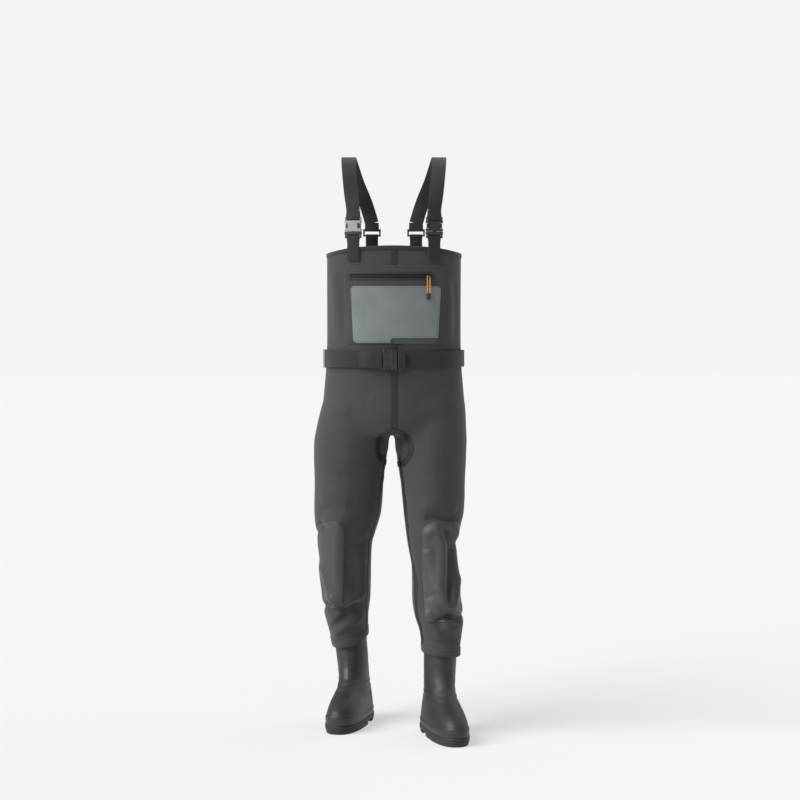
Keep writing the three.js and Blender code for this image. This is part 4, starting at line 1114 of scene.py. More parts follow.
class WADERS_OT_knees(bpy.types.Operator):
    """Lay the coated knee pads, and the cuff bands in the neoprene's own knit, on the legs"""

    bl_idname = "waders.knees"
    bl_label = "Knees and cuffs"

    def execute(self, context):
        look = coated_knee()
        reaches = {"left": (3 * MM, 2 * MM), "right": (10 * MM, -14 * MM)}
        seams = []
        for side in SIDES:
            left, right, low, high = box_of(f"knee_pad_{side}")
            left, right = left + reaches[side][0], right + reaches[side][1]
            half, centre = (right - left) / 2, (left + right) / 2
            shoulder = high - half * 0.8
            low = HEMS[side]["height"] + 92 * MM

            away = 1 if side == "left" else -1

            def level(co, side=side, away=away, half=half, centre=centre, shoulder=shoulder, low=low):
                narrow = 1 - 0.16 * smoothstep(0.46, 0.32, co.z)
                outwards = away * (co.x - centre)
                reach = outwards * 0.6 if outwards > 0 else -outwards / narrow
                across = reach - half
                if co.z > shoulder:
                    across = math.hypot(reach, (co.z - shoulder) * 1.25) - half
                round_side = co.y - leg_axis(side, co.z)[1] + 14 * MM
                corner = 12 * MM
                lifted = (round_side + corner, low - co.z + corner)
                edges = math.hypot(*(max(part, 0) for part in lifted)) + min(max(lifted), 0) - corner
                return max(across, edges)

            def near(place, normal, side=side, low=low, high=high):
                if side_of(place.x) != side or not low - NEAR < place.z < high + NEAR:
                    return False
                return place.y < leg_axis(side, place.z)[1]

            pad = drape(f"knee_coating_{side}", level, near, LAYER_GAP * 0.5, PAD, look, "coated_dark",
                        f"knee_pad_{side}", edge=2.5 * MM)
            inset = 4 * MM
            arch = [(centre + (half - inset) * math.cos(t), shoulder + (half - inset) * 0.8 * math.sin(t))
                    for t in np.linspace(0.15, math.pi - 0.15, 16)]
            seams.append(skin_path(arch, lift=PAD + 0.5 * MM, step=4 * MM))

            def band(co):
                above = -hem_level(co)
                return max(1.0 * MM - above, above - 23 * MM)

            drape(f"cuff_tape_{side}", band,
                  lambda place, normal, side=side: side_of(place.x) == side and place.z < 0.30,
                  LAYER_GAP * 0.5, PAD, neoprene(), "coated_dark", f"cuff_band_{side}", edge=2.5 * MM)
        stitches("knee_stitches", seams, "suit", "coated_dark")
        return {"FINISHED"}


class WADERS_OT_pocket(bpy.types.Operator):
    """Lay the chest pocket: its panel, coated patch, blank label, welt and inner bag"""

    bl_idname = "waders.pocket"
    bl_label = "Chest pocket"

    def execute(self, context):
        near = in_front("pocket_panel")
        face = LAYER_GAP + PANEL
        zip_low, zip_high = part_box("zip_tape_lower")[0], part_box("zip_tape_upper")[1]
        slot = (zip_low.x, zip_high.x, zip_low.z - 1 * MM, zip_high.z + 1 * MM)
        outline = box_outline("pocket_panel", 14 * MM)
        drape("pocket_front", lambda co: max(outline(co), -rounded_box(co.x, co.z, *slot, 4 * MM)),
              near, 0.1 * MM, face - 0.1 * MM, neoprene(), "neoprene", "pocket_panel", edge=3 * MM)

        left, right, low, high = box_of("pocket_patch")
        notch = (left + 106 * MM, right + 40 * MM, low - 40 * MM, low + 13 * MM)

        def patch(co):
            taper = (high - co.z) / (high - low) * 8 * MM
            across = rounded_box(co.x, co.z, left + taper, right - taper, low, high, 11 * MM)
            return max(across, -rounded_box(co.x, co.z, *notch, 7 * MM))

        near_patch = in_front("pocket_patch")
        drape("pocket_coating", patch, near_patch, face, PATCH + 0.3 * MM, coated_patch(), "coated_grey",
              "pocket_patch", refine=2, edge=1.5 * MM)
        drape("blank_label", box_outline("label_panel", 2.5 * MM), in_front("label_panel"), face, 1.1 * MM,
              coated_knee(), "coated_dark", "label_panel", refine=2, edge=1.0 * MM)
        welt = box_outline("zip_welt", 9 * MM)
        gate = (zip_low.x - 0.5 * MM, zip_high.x + 0.5 * MM, zip_low.z - 0.6 * MM, zip_high.z + 0.6 * MM)
        drape("zip_frame", lambda co: max(welt(co), -rounded_box(co.x, co.z, *gate, 3.5 * MM)),
              in_front("zip_welt"), face, 1.2 * MM, seam_tape(), "coated_dark", "zip_welt",
              refine=2, edge=1.5 * MM)
        self.stitch(left, right, low, high, notch, face)
        self.bag()
        return {"FINISHED"}

    def stitch(self, left, right, low, high, notch, face):
        lift = face + PATCH + 0.55 * MM
        inset = 4 * MM
        ring = [(left + inset, high - inset), (right - inset, high - inset),
                (right - 11 * MM, notch[3] + inset), (notch[0] - inset, notch[3] + inset),
                (notch[0] - inset, low + inset), (left + inset, low + inset), (left + inset, high - inset)]
        panel = box_of("pocket_panel", -4.5 * MM)
        panel_ring = rounded_ring(*panel, 11 * MM)
        welt = box_of("zip_welt", -3.2 * MM)
        welt_ring = rounded_ring(*welt, 7.4 * MM)
        paths = [skin_path(ring, lift=lift), skin_path(panel_ring, lift=face + 0.35 * MM),
                 skin_path(welt_ring, lift=face + 1.45 * MM)]
        stitches("pocket_stitches", paths, "suit", "coated_grey")

    def bag(self):
        """A slack flat bag that hangs inside the bib behind the zip."""
        bm = sheet_near(in_front("pocket_bag"))
        mark = trim(bm, box_outline("pocket_bag", 12 * MM))
        wall = sizes().wall
        puffs = {v: min(1.0, max(0.0, -v[mark] / (30 * MM))) for v in bm.verts}
        for vert in bm.verts:
            vert.normal_update()
        shell = thicken(bm, -wall - 0.6 * MM, lambda v: -wall - 1.4 * MM - 4.0 * MM * math.sqrt(puffs[v]))
        bmesh.ops.reverse_faces(shell, faces=shell.faces)
        smooth_shading(shell, 60)
        place(object_from("inner_bag", shell, neoprene_inside()), "suit", "lining", "pocket_bag")


class WADERS_OT_zip(bpy.types.Operator):
    """Make the zip: cloth tapes, two rows of teeth, the slider, and its pull"""

    bl_idname = "waders.zip"
    bl_label = "Zip"

    def execute(self, context):
        lower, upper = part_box("zip_tape_lower"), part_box("zip_tape_upper")
        for name, node in (("zip_cloth_lower", "zip_tape_lower"), ("zip_cloth_upper", "zip_tape_upper")):
            drape(name, box_outline(node, 0.4 * MM, 0.3 * MM), in_front(node), 0.3 * MM, 1.2 * MM,
                  webbing_weave(), "webbing", node, refine=2, edge=0.8 * MM)
        centre = (lower[1].z + upper[0].z) / 2
        left, right = lower[0].x + 2 * MM, lower[1].x - 2 * MM
        lift = LAYER_GAP + PANEL * 0.75
        pitch = sizes().tooth
        rows = [skin_path([(left, centre + 1.0 * MM), (right, centre + 1.0 * MM)], lift=lift),
                skin_path([(left + pitch / 2, centre - 1.0 * MM), (right, centre - 1.0 * MM)], lift=lift)]
        row_pieces("zip_teeth", rows, plastic_black(), "suit", "black_plastic",
                   pitch, 1.25 * MM, 2.9 * MM, 1.3 * MM, shape="block")
        softened("zip_slider", "zip_runner", plastic_black(), 0.5 * MM, "zip_slider", "black_plastic")
        self.pull()
        return {"FINISHED"}

    def pull(self):
        low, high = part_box("pull_cord")
        spot = (low + high) / 2
        radius = 1.3 * MM
        reach = (high.x - low.x) / 2 - radius
        top = high.z - radius
        bend = 3 * MM
        path = [(spot.x - reach, spot.y, low.z + (top - bend - low.z) * i / 14) for i in range(15)]
        for i in range(1, 6):
            t = math.radians(180 - 18 * i)
            path.append((spot.x - reach + bend + bend * math.cos(t), spot.y, top - bend + bend * math.sin(t)))
        path.append((spot.x, spot.y, top))
        half = len(path)
        path += [(2 * spot.x - x, y, z) for x, y, z in reversed(path[: half - 1])]
        cord = object_from("pull_loop", tube_mesh(path, radius, 14), cord_orange())
        place(cord, "zip_pull", "orange_cord", "pull_cord")
        low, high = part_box("pull_grip")
        spot = (low + high) / 2
        half = (high - low) / 2
        bm = bmesh.new()
        levels = 17
        rings = []
        for i in range(levels):
            t = i / (levels - 1)
            z = low.z + (high.z - low.z) * t
            pinch = 1 - 0.16 * abs(2 * t - 1) ** 3 - 0.05 * (math.cos(t * math.pi * 10) > 0.2)
            ends = math.sqrt(max(0.05, 1 - max(0, (abs(2 * t - 1) - 0.86) / 0.14) ** 2))
            ring = []
            for k in range(24):
                turn = 2 * math.pi * k / 24
                c, s = math.cos(turn), math.sin(turn)
                x = math.copysign(abs(c) ** 0.55, c) * half.x * pinch * ends
                y = math.copysign(abs(s) ** 0.55, s) * half.y * pinch * ends
                ring.append(bm.verts.new((spot.x + x, spot.y + y, z)))
            rings.append(ring)
        bridge_rings(bm, rings)
        cap_ends(bm, rings)
        smooth_shading(bm, 40)
        place(object_from("pull_tip", bm, plastic_black()), "zip_pull", "black_plastic", "pull_grip")


def lay_along(piece, path, across):
    """A pattern on a band: across its width, and along its path."""
    path = np.array(path, float)
    lengths = np.concatenate([[0], np.cumsum(np.linalg.norm(np.diff(path, axis=0), axis=1))])
    mesh = piece.data
    points = mesh_points(mesh)
    uvs = np.zeros((len(points), 2))
    best = np.full(len(points), 1e9)
    for a, b, start in zip(path, path[1:], lengths):
        run = b - a
        size = max(float(run @ run), 1e-12)
        t = np.clip((points - a) @ run / size, 0, 1)
        offset = points - (a + t[:, None] * run)
        distance = np.linalg.norm(offset, axis=1)
        nearer = distance < best
        best[nearer] = distance[nearer]
        uvs[nearer, 0] = (offset @ across)[nearer]
        uvs[nearer, 1] = (start + t * math.sqrt(size))[nearer]
    layer = mesh.uv_layers.get("UVMap") or mesh.uv_layers.new(name="UVMap")
    index = np.empty(len(mesh.loops), int)
    mesh.loops.foreach_get("vertex_index", index)
    layer.data.foreach_set("uv", uvs[index].ravel())


def strap_line(node, pivot):
    """A strap's middle line: its CAD corners grouped by their turn about a pivot inside the arch."""
    points = np.array([v.co for v in NODES[node].data.vertices], float)
    turns = np.arctan2(points[:, 2] - pivot[1], points[:, 1] - pivot[0])
    turns = np.where(turns < -math.pi / 2, turns + 2 * math.pi, turns)
    line = []
    steps = np.linspace(turns.min() + 0.05, turns.max() - 0.05, 40)
    for turn in steps:
        near = points[np.abs(turns - turn) < 0.09]
        if len(near) > 3:
            line.append(near.mean(0))
    return line


def webbing_turn(name, node, low, high, look, body, slot):
    """The turn of webbing that fills the slot of a buckle, between two heights."""
    box_low, box_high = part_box(node)
    spot = (box_low + box_high) / 2
    _, facing = on_skin(spot.x, BIB_FRONT_TOP - 20 * MM)
    out = Vector((facing.x, facing.y, 0)).normalized()
    across = Vector((-out.y, out.x, 0))
    bm = bmesh.new()
    bmesh.ops.create_cube(bm, size=1.0)
    bmesh.ops.scale(bm, vec=(37 * MM, 3.4 * MM, high - low), verts=bm.verts)
    bmesh.ops.bevel(bm, geom=bm.edges[:], offset=0.8 * MM, segments=2, affect="EDGES")
    turn = Matrix((across, out, (0, 0, 1))).transposed().to_4x4()
    centre = Vector((spot.x, spot.y, (low + high) / 2))
    bm.transform(Matrix.Translation(centre) @ turn)
    smooth_shading(bm, 40)
    piece = place(object_from(name, bm, look), body, slot)
    lay_along(piece, [centre - Vector((0, 0, 9 * MM)), centre + Vector((0, 0, 9 * MM))], np.array(across))


class WADERS_OT_straps(bpy.types.Operator):
    """Make both shoulder straps with their tabs, buckles, rings and stitching"""

    bl_idname = "waders.straps"
    bl_label = "Shoulder straps"

    def execute(self, context):
        for side in SIDES:
            body = f"strap_{side}"
            elastic = softened(f"strap_{side}_elastic", f"strap_band_{side}", elastic_knit(), 0.45 * MM, body,
                               "elastic")
            line = strap_line(f"strap_{side}_elastic", (CENTRE.y, STRAP_PIVOT))
            lay_along(elastic, line, np.array((1.0, 0, 0)))
            grey = side == "right"
            catch, slot = (plastic_grey(), "grey_plastic") if grey else (plastic_black(), "black_plastic")
            softened(f"strap_{side}_socket", f"strap_catch_{side}", catch, 1.1 * MM, body, slot)
            softened(f"strap_{side}_plug", f"strap_tongue_{side}", plastic_black(), 0.9 * MM, "suit",
                     "black_plastic")
            for arm in ("a", "b"):
                softened(f"strap_{side}_arm_{arm}", f"strap_prong_{side}_{arm}", plastic_black(), 0.6 * MM,
                         f"strap_{side}_arm_{arm}", "black_plastic")
            top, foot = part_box(f"strap_{side}_socket")[1].z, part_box(f"strap_{side}_plug")[0].z
            webbing_turn(f"strap_turn_{side}", f"strap_{side}_socket", top - 9.9 * MM, top - 4.1 * MM,
                         elastic_knit(), body, "elastic")
            webbing_turn(f"tab_turn_{side}", f"strap_{side}_plug", foot + 4.1 * MM, foot + 9.9 * MM,
                         webbing_weave(), "suit", "webbing")
            softened(f"back_ring_{side}", f"back_loop_{side}", plastic_black(), 0.4 * MM, "suit",
                     "black_plastic")
            for where, end in (("bib", "front"), ("back", "rear")):
                node = f"{where}_tab_{side}"
                tab = softened(node, f"{end}_tab_{side}", webbing_weave(), 0.4 * MM, "suit", "webbing")
                low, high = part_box(node)
                spot = (low + high) / 2
                lay_along(tab, [(spot.x, spot.y, low.z), (spot.x, spot.y, high.z)], np.array((1.0, 0, 0)))
            self.stitch_tabs(side)
            self.stitch_band(side, line)
        return {"FINISHED"}

    def stitch_tabs(self, side):
        """A sewn box with a cross on each tab."""
        paths = []
        for node, view in ((f"bib_tab_{side}", "front"), (f"back_tab_{side}", "back")):
            low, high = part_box(node)
            spot = (low + high) / 2
            _, facing = on_skin(spot.x, low.z + 14 * MM, view)
            across = Vector((-facing.y, facing.x, 0)).normalized()
            half, tall = 13 * MM, 24 * MM
            foot, _ = on_skin(spot.x, low.z + 4 * MM, view)
            depth = 1.9 * MM + 3.0 * MM + 0.3 * MM
            flat = Vector((facing.x, facing.y, 0)).normalized()
            base = Vector((spot.x, foot.y, low.z + 4 * MM)) + flat * depth
            up = Vector((0, 0, 1))
            corners = [base + across * a * half + up * b * tall
                       for a, b in ((-1, 0), (1, 0), (1, 1), (-1, 1))]
            ring = [*corners, corners[0]]
            paths.append([(p, flat) for p in ring])
            paths.append([(corners[0], flat), (corners[2], flat)])
            paths.append([(corners[1], flat), (corners[3], flat)])
        stitches(f"tab_stitches_{side}", paths, "suit", "webbing", fine=True)

    def stitch_band(self, side, line):
        """Two rows across each end of the elastic where its fold is sewn down."""
        band = bpy.data.objects[f"strap_band_{side}"]
        tree = BVHTree.FromObject(band, bpy.context.evaluated_depsgraph_get())
        paths = []
        for sign, foot in ((-1, FRONT_FOLD), (1, BACK_FOLD)):
            ends = [p[0] for p in line if (p[1] - CENTRE.y) * sign > 0 and p[2] < FRONT_FOLD + 19 * MM]
            middle_x = float(np.mean(ends))
            for row in (0.0, 5 * MM):
                path = []
                for i in range(9):
                    x = middle_x + (i / 4 - 1) * 15 * MM
                    start = Vector((x, CENTRE.y + sign * 0.5, foot + row))
                    spot, normal, _, _ = tree.ray_cast(start, Vector((0, -sign, 0)))
                    if spot is not None:
                        path.append((spot + normal * 0.2 * MM, normal))
                if len(path) > 4:
                    paths.append(path)
        stitches(f"band_stitches_{side}", paths, f"strap_{side}", "elastic", fine=True)


class WADERS_OT_belt(bpy.types.Operator):
    """Make the waist belt with its buckle, keeper and loops"""

    bl_idname = "waders.belt"
    bl_label = "Waist belt"

    def execute(self, context):
        level = middle("belt_webbing").z
        hoop = []
        points = np.array([v.co for v in NODES["belt_webbing"].data.vertices], float)
        turns = np.arctan2(points[:, 1] - CENTRE.y, points[:, 0] - CENTRE.x)
        for turn in np.linspace(-math.pi, math.pi, 61):
            gap = np.abs((turns - turn + math.pi) % (2 * math.pi) - math.pi)
            near = points[gap < 0.12]
            if len(near):
                hoop.append((*near[:, :2].mean(0), level))
        up = np.array((0, 0, 1.0))
        webbing = softened("belt_webbing", "belt_band", webbing_weave(), 0.45 * MM, "suit", "webbing")
        lay_along(webbing, hoop, up)
        fold = softened("belt_fold", "belt_tail", webbing_weave(), 0.45 * MM, "belt_release", "webbing")
        lay_along(fold, hoop, up)
        softened("belt_socket", "belt_catch", plastic_black(), 1.2 * MM, "suit", "black_plastic")
        softened("belt_plug", "belt_tongue", plastic_black(), 1.0 * MM, "belt_release", "black_plastic")
        for arm in ("a", "b"):
            softened(f"belt_arm_{arm}", f"belt_prong_{arm}", plastic_black(), 0.6 * MM, f"belt_arm_{arm}",
                     "black_plastic")
        softened("belt_keeper", "belt_slide", plastic_grey(), 0.8 * MM, "belt_keeper", "grey_plastic")
        for where in ("left", "right", "back"):
            loop = softened(f"belt_loop_{where}", f"belt_bridge_{where}", neoprene(), 0.5 * MM, "suit",
                            "neoprene")
            lay_along(loop, hoop, up)
        return {"FINISHED"}


# ---- Boots ---------------------------------------------------------------------------------
# A boot's sections about its ankle line, in millimetres: height above the ground, reach of toe and
# heel, half width, squareness, and how much wider the forefoot is than the heel.
BOOT_SECTIONS = {
    "z": (24, 46, 62, 76, 88, 102, 122, 150, 200, 290),
    "toe": (222, 222, 212, 190, 158, 120, 84, 66, 58, 55),
    "heel": (71, 71, 71, 70, 69, 67, 64.5, 61, 56, 55),
    "w": (47, 47, 45.5, 44, 42.5, 41, 40, 41, 43, 43),
    "square": (2.5, 2.45, 2.35, 2.25, 2.15, 2.05, 2, 2, 2, 2),
    "flare": (0.20, 0.20, 0.17, 0.13, 0.09, 0.05, 0, 0, 0, 0),
}
BOOT_STEPS = 112
BOOT_WALL = 4 * MM
SOLE_TOP = 24 * MM
SHAFT_TOP = 290 * MM


def boot_section(z):
    """The boot's section at a height in millimetres, eased between the stations."""
    heights = BOOT_SECTIONS["z"]
    at = min(max(z, heights[0]), heights[-1])
    found = {}
    for key in ("toe", "heel", "w", "square", "flare"):
        values = np.array(BOOT_SECTIONS[key], float)
        slopes = np.gradient(values, heights)
        i = min(max(int(np.searchsorted(heights, at)) - 1, 0), len(heights) - 2)
        span = heights[i + 1] - heights[i]
        t = (at - heights[i]) / span
        rise = values[i] + (values[i + 1] - values[i]) * (t * t * (3 - 2 * t))
        found[key] = float(rise + t * (1 - t) * ((1 - t) * slopes[i] - t * slopes[i + 1]) * span)
    return found


def boot_ring(z, grow, lean, relief=None):
    """Points round the boot at height z in metres, in the boot's own frame."""
    section = boot_section(z / MM)
    toe, heel, w = (section[key] * MM for key in ("toe", "heel", "w"))
    power = 2 / section["square"]
    shift = lean * max(z - 100 * MM, 0)
    ring = []
    for i in range(BOOT_STEPS):
        t = 2 * math.pi * i / BOOT_STEPS
        across = math.copysign(abs(math.cos(t)) ** power, math.cos(t))
        along = math.copysign(abs(math.sin(t)) ** power, math.sin(t))
        more = grow + (relief(t, z) if relief else 0.0)
        y = along * ((toe if along < 0 else heel) + more)
        x = across * (w + more) * (1 - section["flare"] * y / toe)
        ring.append(Vector((x + shift, y, z)))
    return ring


def upper_relief(t, z):
    """Raised band, mould lines, ankle creases and heel ridges of the boot's upper, in metres."""
    front = math.exp(-(((t - 1.5 * math.pi) / 0.75) ** 2))
    back = math.exp(-(((t - 0.5 * math.pi) / 0.55) ** 2))
    mm = z / MM
    band_top = 40 + 12 * front + 16 * back
    relief = 1.7 * float(smoothstep(band_top + 1.6, band_top - 1.6, mm))
    relief += 0.9 * math.exp(-(((mm - band_top + 5) / 1.3) ** 2))
    seam = min(abs(t - 1.5 * math.pi), abs(t - 0.5 * math.pi))
    relief += 0.7 * math.exp(-((seam / 0.025) ** 2)) * float(smoothstep(60, 80, mm))
    for crease, depth, tilt in ((104, -2.6, 6), (118, -2.0, 8), (136, -1.5, 10), (160, -0.9, 8)):
        line = crease + tilt * math.sin(t)
        relief += depth * math.exp(-(((mm - line) / 4.2) ** 2)) * (0.35 + 0.65 * front)
        relief -= depth * 0.5 * math.exp(-(((mm - line - 8) / 5.0) ** 2)) * (0.35 + 0.65 * front)
    for ridge in (62, 70, 78):
        relief += 1.2 * math.exp(-(((mm - ridge) / 1.8) ** 2)) * back
    relief += 3.0 * math.exp(-(((mm - 88) / 3.5) ** 2)) * back**2
    edge = 226 + 3 * math.sin(t)
    relief += 0.8 * math.exp(-(((mm - edge) / 2.0) ** 2))
    return relief * MM


def boot_matrix(side):
    boot = BOOTS[side]
    spot = Vector((CENTRE.x + boot["x"], CENTRE.y + boot["y"], 0))
    return Matrix.Translation(spot) @ Matrix.Rotation(math.radians(boot["yaw"]), 4, "Z")


def boot_upper(side):
    lean = BOOTS[side]["lean"]
    top = SHAFT_TOP
    heights = [SOLE_TOP + 0.02 * MM + i * 1.6 * MM for i in range(61)]
    heights += list(np.linspace(heights[-1] + 4 * MM, top, 30))
    bm = bmesh.new()
    outside = [[bm.verts.new(p) for p in boot_ring(z, 0, lean, upper_relief)] for z in heights]
    floor = SOLE_TOP + BOOT_WALL
    inner_heights = [z for z in heights[::3] if z > floor + 1 * MM] + [top]
    inner_heights = [floor] + sorted(set(inner_heights))
    inside = [[bm.verts.new(p) for p in boot_ring(z, -BOOT_WALL, lean)] for z in inner_heights]
    bridge_rings(bm, outside)
    bridge_rings(bm, inside, flip=True)
    bridge_rings(bm, [outside[-1], inside[-1]])
    bm.faces.new(outside[0][::-1])
    bm.faces.new(inside[0])
    bm.transform(boot_matrix(side))
    bmesh.ops.triangulate(bm, faces=[f for f in bm.faces if len(f.verts) > 4])
    smooth_shading(bm, 45)
    piece = object_from(f"boot_{side}_shell", bm, boot_rubber())
    return place(piece, "suit", "boot_rubber", f"boot_{side}_upper")


# Height and growth of the boot's own outline, in millimetres, from the lowest ring up.
OUTSOLE_PROFILE = (
    (9.0, -3.0), (9.0, 0.6), (10.0, 2.2), (11.5, 3.0), (13.8, 3.2), (14.8, 2.3), (15.6, 2.2),
    (16.4, 3.1), (19.0, 3.3), (21.5, 3.0), (23.2, 1.8), (23.7, 0.2), (23.7, -3.0),
)
TREAD_PROFILE = ((0, -1.6), (0.5, -0.3), (2.0, 0.6), (6.0, 1.2), (9.4, 1.2))
INSOLE_PROFILE = ((28.3, -6.4), (28.6, -5.6), (32.4, -5.4), (33.0, -6.6))


def boot_form(profile, side=None):
    """A closed form through rings of the boot's outline, set in the boot's place when a side is given."""
    bm = bmesh.new()
    rings = []
    for z, grow in profile:
        foot = [Vector((p.x, p.y, z * MM)) for p in boot_ring(SOLE_TOP, grow * MM, 0)]
        rings.append([bm.verts.new(p) for p in foot])
    bridge_rings(bm, rings)
    cap_ends(bm, rings)
    if side:
        bm.transform(boot_matrix(side))
        smooth_shading(bm, 50)
    return bm


def box_faces(bm, low, high, turn=0.0, pivot=(0, 0)):
    made = bmesh.ops.create_cube(bm, size=1.0)["verts"]
    size = Vector(high) - Vector(low)
    centre = (Vector(high) + Vector(low)) / 2
    spin = Matrix.Rotation(turn, 4, "Z")
    for vert in made:
        co = Vector((vert.co.x * size.x, vert.co.y * size.y, vert.co.z * size.z)) + centre
        co -= Vector((*pivot, 0))
        vert.co = spin @ co + Vector((*pivot, 0))


def grooves():
    """Cutters: the open arch, and slanting grooves between the lugs."""
    bm = bmesh.new()
    box_faces(bm, (-0.08, -0.058, -0.01), (0.08, -0.004, 8.9 * MM))
    for start, count in ((-85, 6), (20.5, 2)):
        step = math.copysign(22, start)
        for i in range(count):
            y = (start + i * step) * MM
            for sign in (-1, 1):
                slant = math.radians(14 if start < 0 else 0)
                x0, x1 = (-0.003, 0.08) if sign > 0 else (-0.08, 0.003)
                box_faces(bm, (x0, y - 2.6 * MM, -0.01), (x1, y + 2.6 * MM, 5.5 * MM), sign * slant, (0, y))
    box_faces(bm, (-2.2 * MM, -0.205, -0.01), (2.2 * MM, -0.075, 3.4 * MM))
    return bm


def outsole(side):
    look = sole_rubber()
    form = object_from("tread", boot_form(TREAD_PROFILE), look)
    cutter = object_from("cutter", grooves(), look)
    modify(form, "BOOLEAN", operation="DIFFERENCE", solver="EXACT", use_self=True, object=cutter)
    evaluated(form)
    modify(form, "BEVEL", width=0.7 * MM, segments=1, angle_limit=math.radians(50))
    evaluated(form)
    tread = bmesh.new()
    tread.from_mesh(form.data)
    tread.transform(boot_matrix(side))
    smooth_shading(tread, 35)
    joined = boot_form(OUTSOLE_PROFILE, side)
    mesh = bpy.data.meshes.new("tread")
    tread.to_mesh(mesh)
    tread.free()
    joined.from_mesh(mesh)
    bpy.data.objects.remove(form)
    bpy.data.objects.remove(cutter)
    bmesh.ops.triangulate(joined, faces=[f for f in joined.faces if len(f.verts) > 4])
    piece = object_from(f"boot_{side}_sole", joined, look)
    return place(piece, "suit", "sole_rubber", f"boot_{side}_outsole")


def insole(side):
    piece = object_from(f"boot_{side}_footbed", boot_form(INSOLE_PROFILE, side), insole_foam())
    return place(piece, "suit", "insole_foam", f"boot_{side}_insole")


def boot_seal(side):
    """The neoprene ledge inside the leg that joins the top of the boot's shaft to the leg's wall."""
    top, low = SHAFT_TOP - 2 * MM, SHAFT_TOP - 8 * MM
    turn = boot_matrix(side)
    lean = BOOTS[side]["lean"]
    bm = bmesh.new()
    rows = []
    for level in (low, top):
        inner = [turn @ p for p in boot_ring(level, -1.0 * MM, lean)]
        centre = sum(inner, Vector()) / len(inner)
        outer = []
        for spot in inner:
            away = (spot - centre).normalized()
            hit, _, _, _ = Skin.tree.ray_cast(spot, away)
            outer.append(hit - away * sizes().wall * 0.5 if hit else spot + away * 6 * MM)
        rows.append(([bm.verts.new(p) for p in inner], [bm.verts.new(p) for p in outer]))
    (inner_low, outer_low), (inner_top, outer_top) = rows
    bridge_rings(bm, [inner_low, outer_low, outer_top, inner_top, inner_low])
    bmesh.ops.recalc_face_normals(bm, faces=bm.faces)
    smooth_shading(bm, 40)
    place(object_from(f"boot_{side}_seal", bm, neoprene_inside()), "suit", "neoprene")


class WADERS_OT_boots(bpy.types.Operator):
    """Make both boots: moulded uppers, treaded outsoles, insoles and the ledges that seal them"""

    bl_idname = "waders.boots"
    bl_label = "Boots"

    def execute(self, context):
        for side in SIDES:
            boot_upper(side)
            outsole(side)
            insole(side)
            boot_seal(side)
        return {"FINISHED"}


# ---- Floor, light and camera ---------------------------------------------------------------
FLOOR_TONES = (0.412, 0.428)
FLOOR_GLOW = 0.49
SKY_STRENGTH = 0.25
SUNS = {"key": ((-0.80, -0.44, 0.72), 3.45, 50), "fill": ((0.75, 0.50, 0.60), 0.60, 70)}
CAMERA_X, CAMERA_HEIGHT, AIM_HEIGHT = 0.025, 1.17, 0.890
CAMERA_DISTANCE, VIEW_WIDTH, SENSOR = 6.3, 2.16, 36


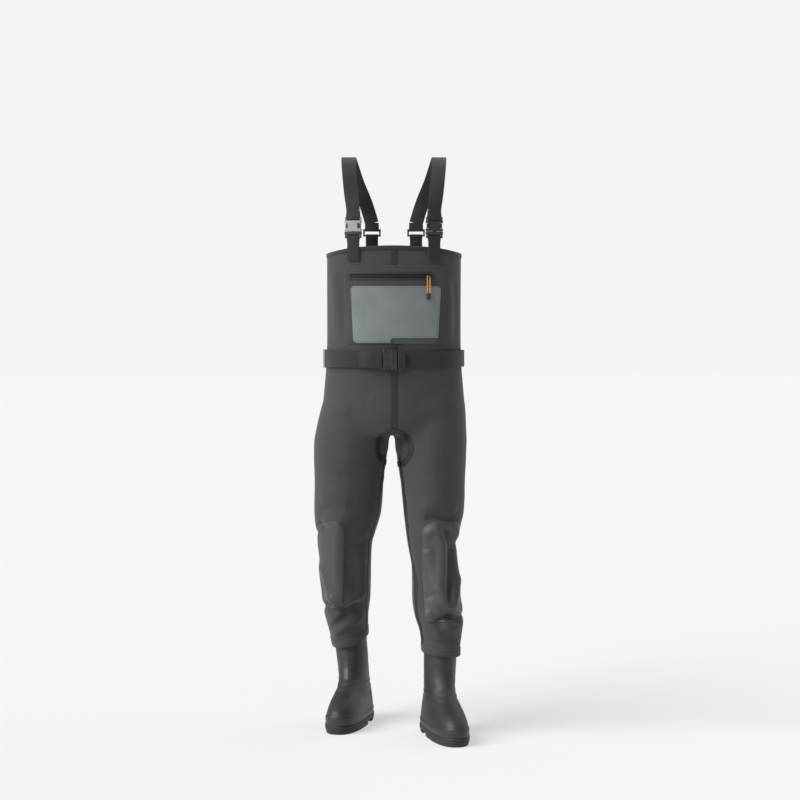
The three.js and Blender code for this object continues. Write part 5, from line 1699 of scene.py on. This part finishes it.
class WADERS_OT_stage(bpy.types.Operator):
    """Set the pale floor, the soft studio light and the camera"""

    bl_idname = "waders.stage"
    bl_label = "Stage"

    def execute(self, context):
        scene = bpy.context.scene
        scene.view_settings.view_transform = "Standard"
        self.floor()
        self.sky(scene)
        for name, (towards, strength, spread) in SUNS.items():
            self.sun(name, towards, strength, spread)
        self.camera(scene)
        return {"FINISHED"}

    def floor(self):
        bm = bmesh.new()
        bmesh.ops.create_grid(bm, x_segments=4, y_segments=4, size=30)
        look = bpy.data.materials.new("studio_floor")
        look.use_nodes = True
        tree = look.node_tree
        surface = tree.nodes["Principled BSDF"]
        grain = node_in(tree, "ShaderNodeTexNoise", {"Scale": 3.0, "Detail": 2.0})
        tone = node_in(tree, "ShaderNodeMapRange", dict(zip(("To Min", "To Max"), FLOOR_TONES)))
        link(tree, grain, 0, tone, "Value")
        link(tree, tone, 0, surface, "Base Color")
        surface.inputs["Emission Color"].default_value = (1, 1, 1, 1)
        surface.inputs["Emission Strength"].default_value = FLOOR_GLOW
        surface.inputs["Roughness"].default_value = 0.9
        surface.inputs["Specular IOR Level"].default_value = 0.1
        floor = object_from("studio_floor", bm, look)

    def sky(self, scene):
        world = bpy.data.worlds.new("studio")
        world.use_nodes = True
        tree = world.node_tree
        backdrop = tree.nodes["Background"]
        backdrop.inputs["Color"].default_value = (0.905, 0.905, 0.91, 1)
        backdrop.inputs["Strength"].default_value = 1.0
        soft = node_in(tree, "ShaderNodeBackground", {"Strength": SKY_STRENGTH})
        soft.inputs["Color"].default_value = (1, 1, 1, 1)
        path = tree.nodes.new("ShaderNodeLightPath")
        mix = tree.nodes.new("ShaderNodeMixShader")
        out = tree.nodes["World Output"]
        wire(
            tree, (path, "Is Camera Ray", mix, 0), (soft, 0, mix, 1), (backdrop, 0, mix, 2),
            (mix, 0, out, "Surface"),
        )
        scene.world = world

    def sun(self, name, towards, strength, spread):
        """A broad even light from one direction, so the floor is as bright everywhere."""
        light = bpy.data.lights.new(name, "SUN")
        light.energy = strength
        light.angle = math.radians(spread)
        lamp = bpy.data.objects.new(name, light)
        lamp.rotation_euler = Vector(towards).to_track_quat("Z", "Y").to_euler()
        bpy.context.scene.collection.objects.link(lamp)

    def camera(self, scene):
        lens = bpy.data.cameras.new("camera")
        lens.sensor_width = SENSOR
        lens.lens = SENSOR / (VIEW_WIDTH / CAMERA_DISTANCE)
        lens.clip_end = 80
        camera = bpy.data.objects.new("camera", lens)
        aim = Vector((CAMERA_X, CENTRE.y, AIM_HEIGHT))
        camera.location = Vector((CAMERA_X, CENTRE.y - CAMERA_DISTANCE, CAMERA_HEIGHT))
        camera.rotation_euler = (aim - camera.location).to_track_quat("-Z", "Y").to_euler()
        scene.collection.objects.link(camera)
        scene.camera = camera


PIECE_OPERATORS = (
    WADERS_OT_suit, WADERS_OT_binding, WADERS_OT_tapes, WADERS_OT_knees, WADERS_OT_pocket,
    WADERS_OT_zip, WADERS_OT_straps, WADERS_OT_belt, WADERS_OT_boots, WADERS_OT_stage,
)


class WADERS_PT_panel(bpy.types.Panel):
    """Sizes, colours and the steps that build the waders."""

    bl_idname = "WADERS_PT_panel"
    bl_label = "Chest waders"
    bl_space_type = "VIEW_3D"
    bl_region_type = "UI"
    bl_category = "Waders"

    def draw(self, context):
        column = self.layout.column()
        for settings in (context.scene.waders_sizes, context.scene.waders_colours):
            for name in settings.__annotations__:
                column.prop(settings, name)
        for operator in PIECE_OPERATORS:
            column.operator(operator.bl_idname)


CLASSES = (WADERS_PG_sizes, WADERS_PG_colours, *PIECE_OPERATORS, WADERS_PT_panel)


def register():
    for made in CLASSES:
        bpy.utils.register_class(made)
    bpy.types.Scene.waders_sizes = PointerProperty(type=WADERS_PG_sizes)
    bpy.types.Scene.waders_colours = PointerProperty(type=WADERS_PG_colours)


def unregister():
    del bpy.types.Scene.waders_colours
    del bpy.types.Scene.waders_sizes
    for made in reversed(CLASSES):
        bpy.utils.unregister_class(made)


def main():
    register()
    for operator in PIECE_OPERATORS:
        group, name = operator.bl_idname.split(".")
        getattr(getattr(bpy.ops, group), name)()


if __name__ == "__main__":
    main()
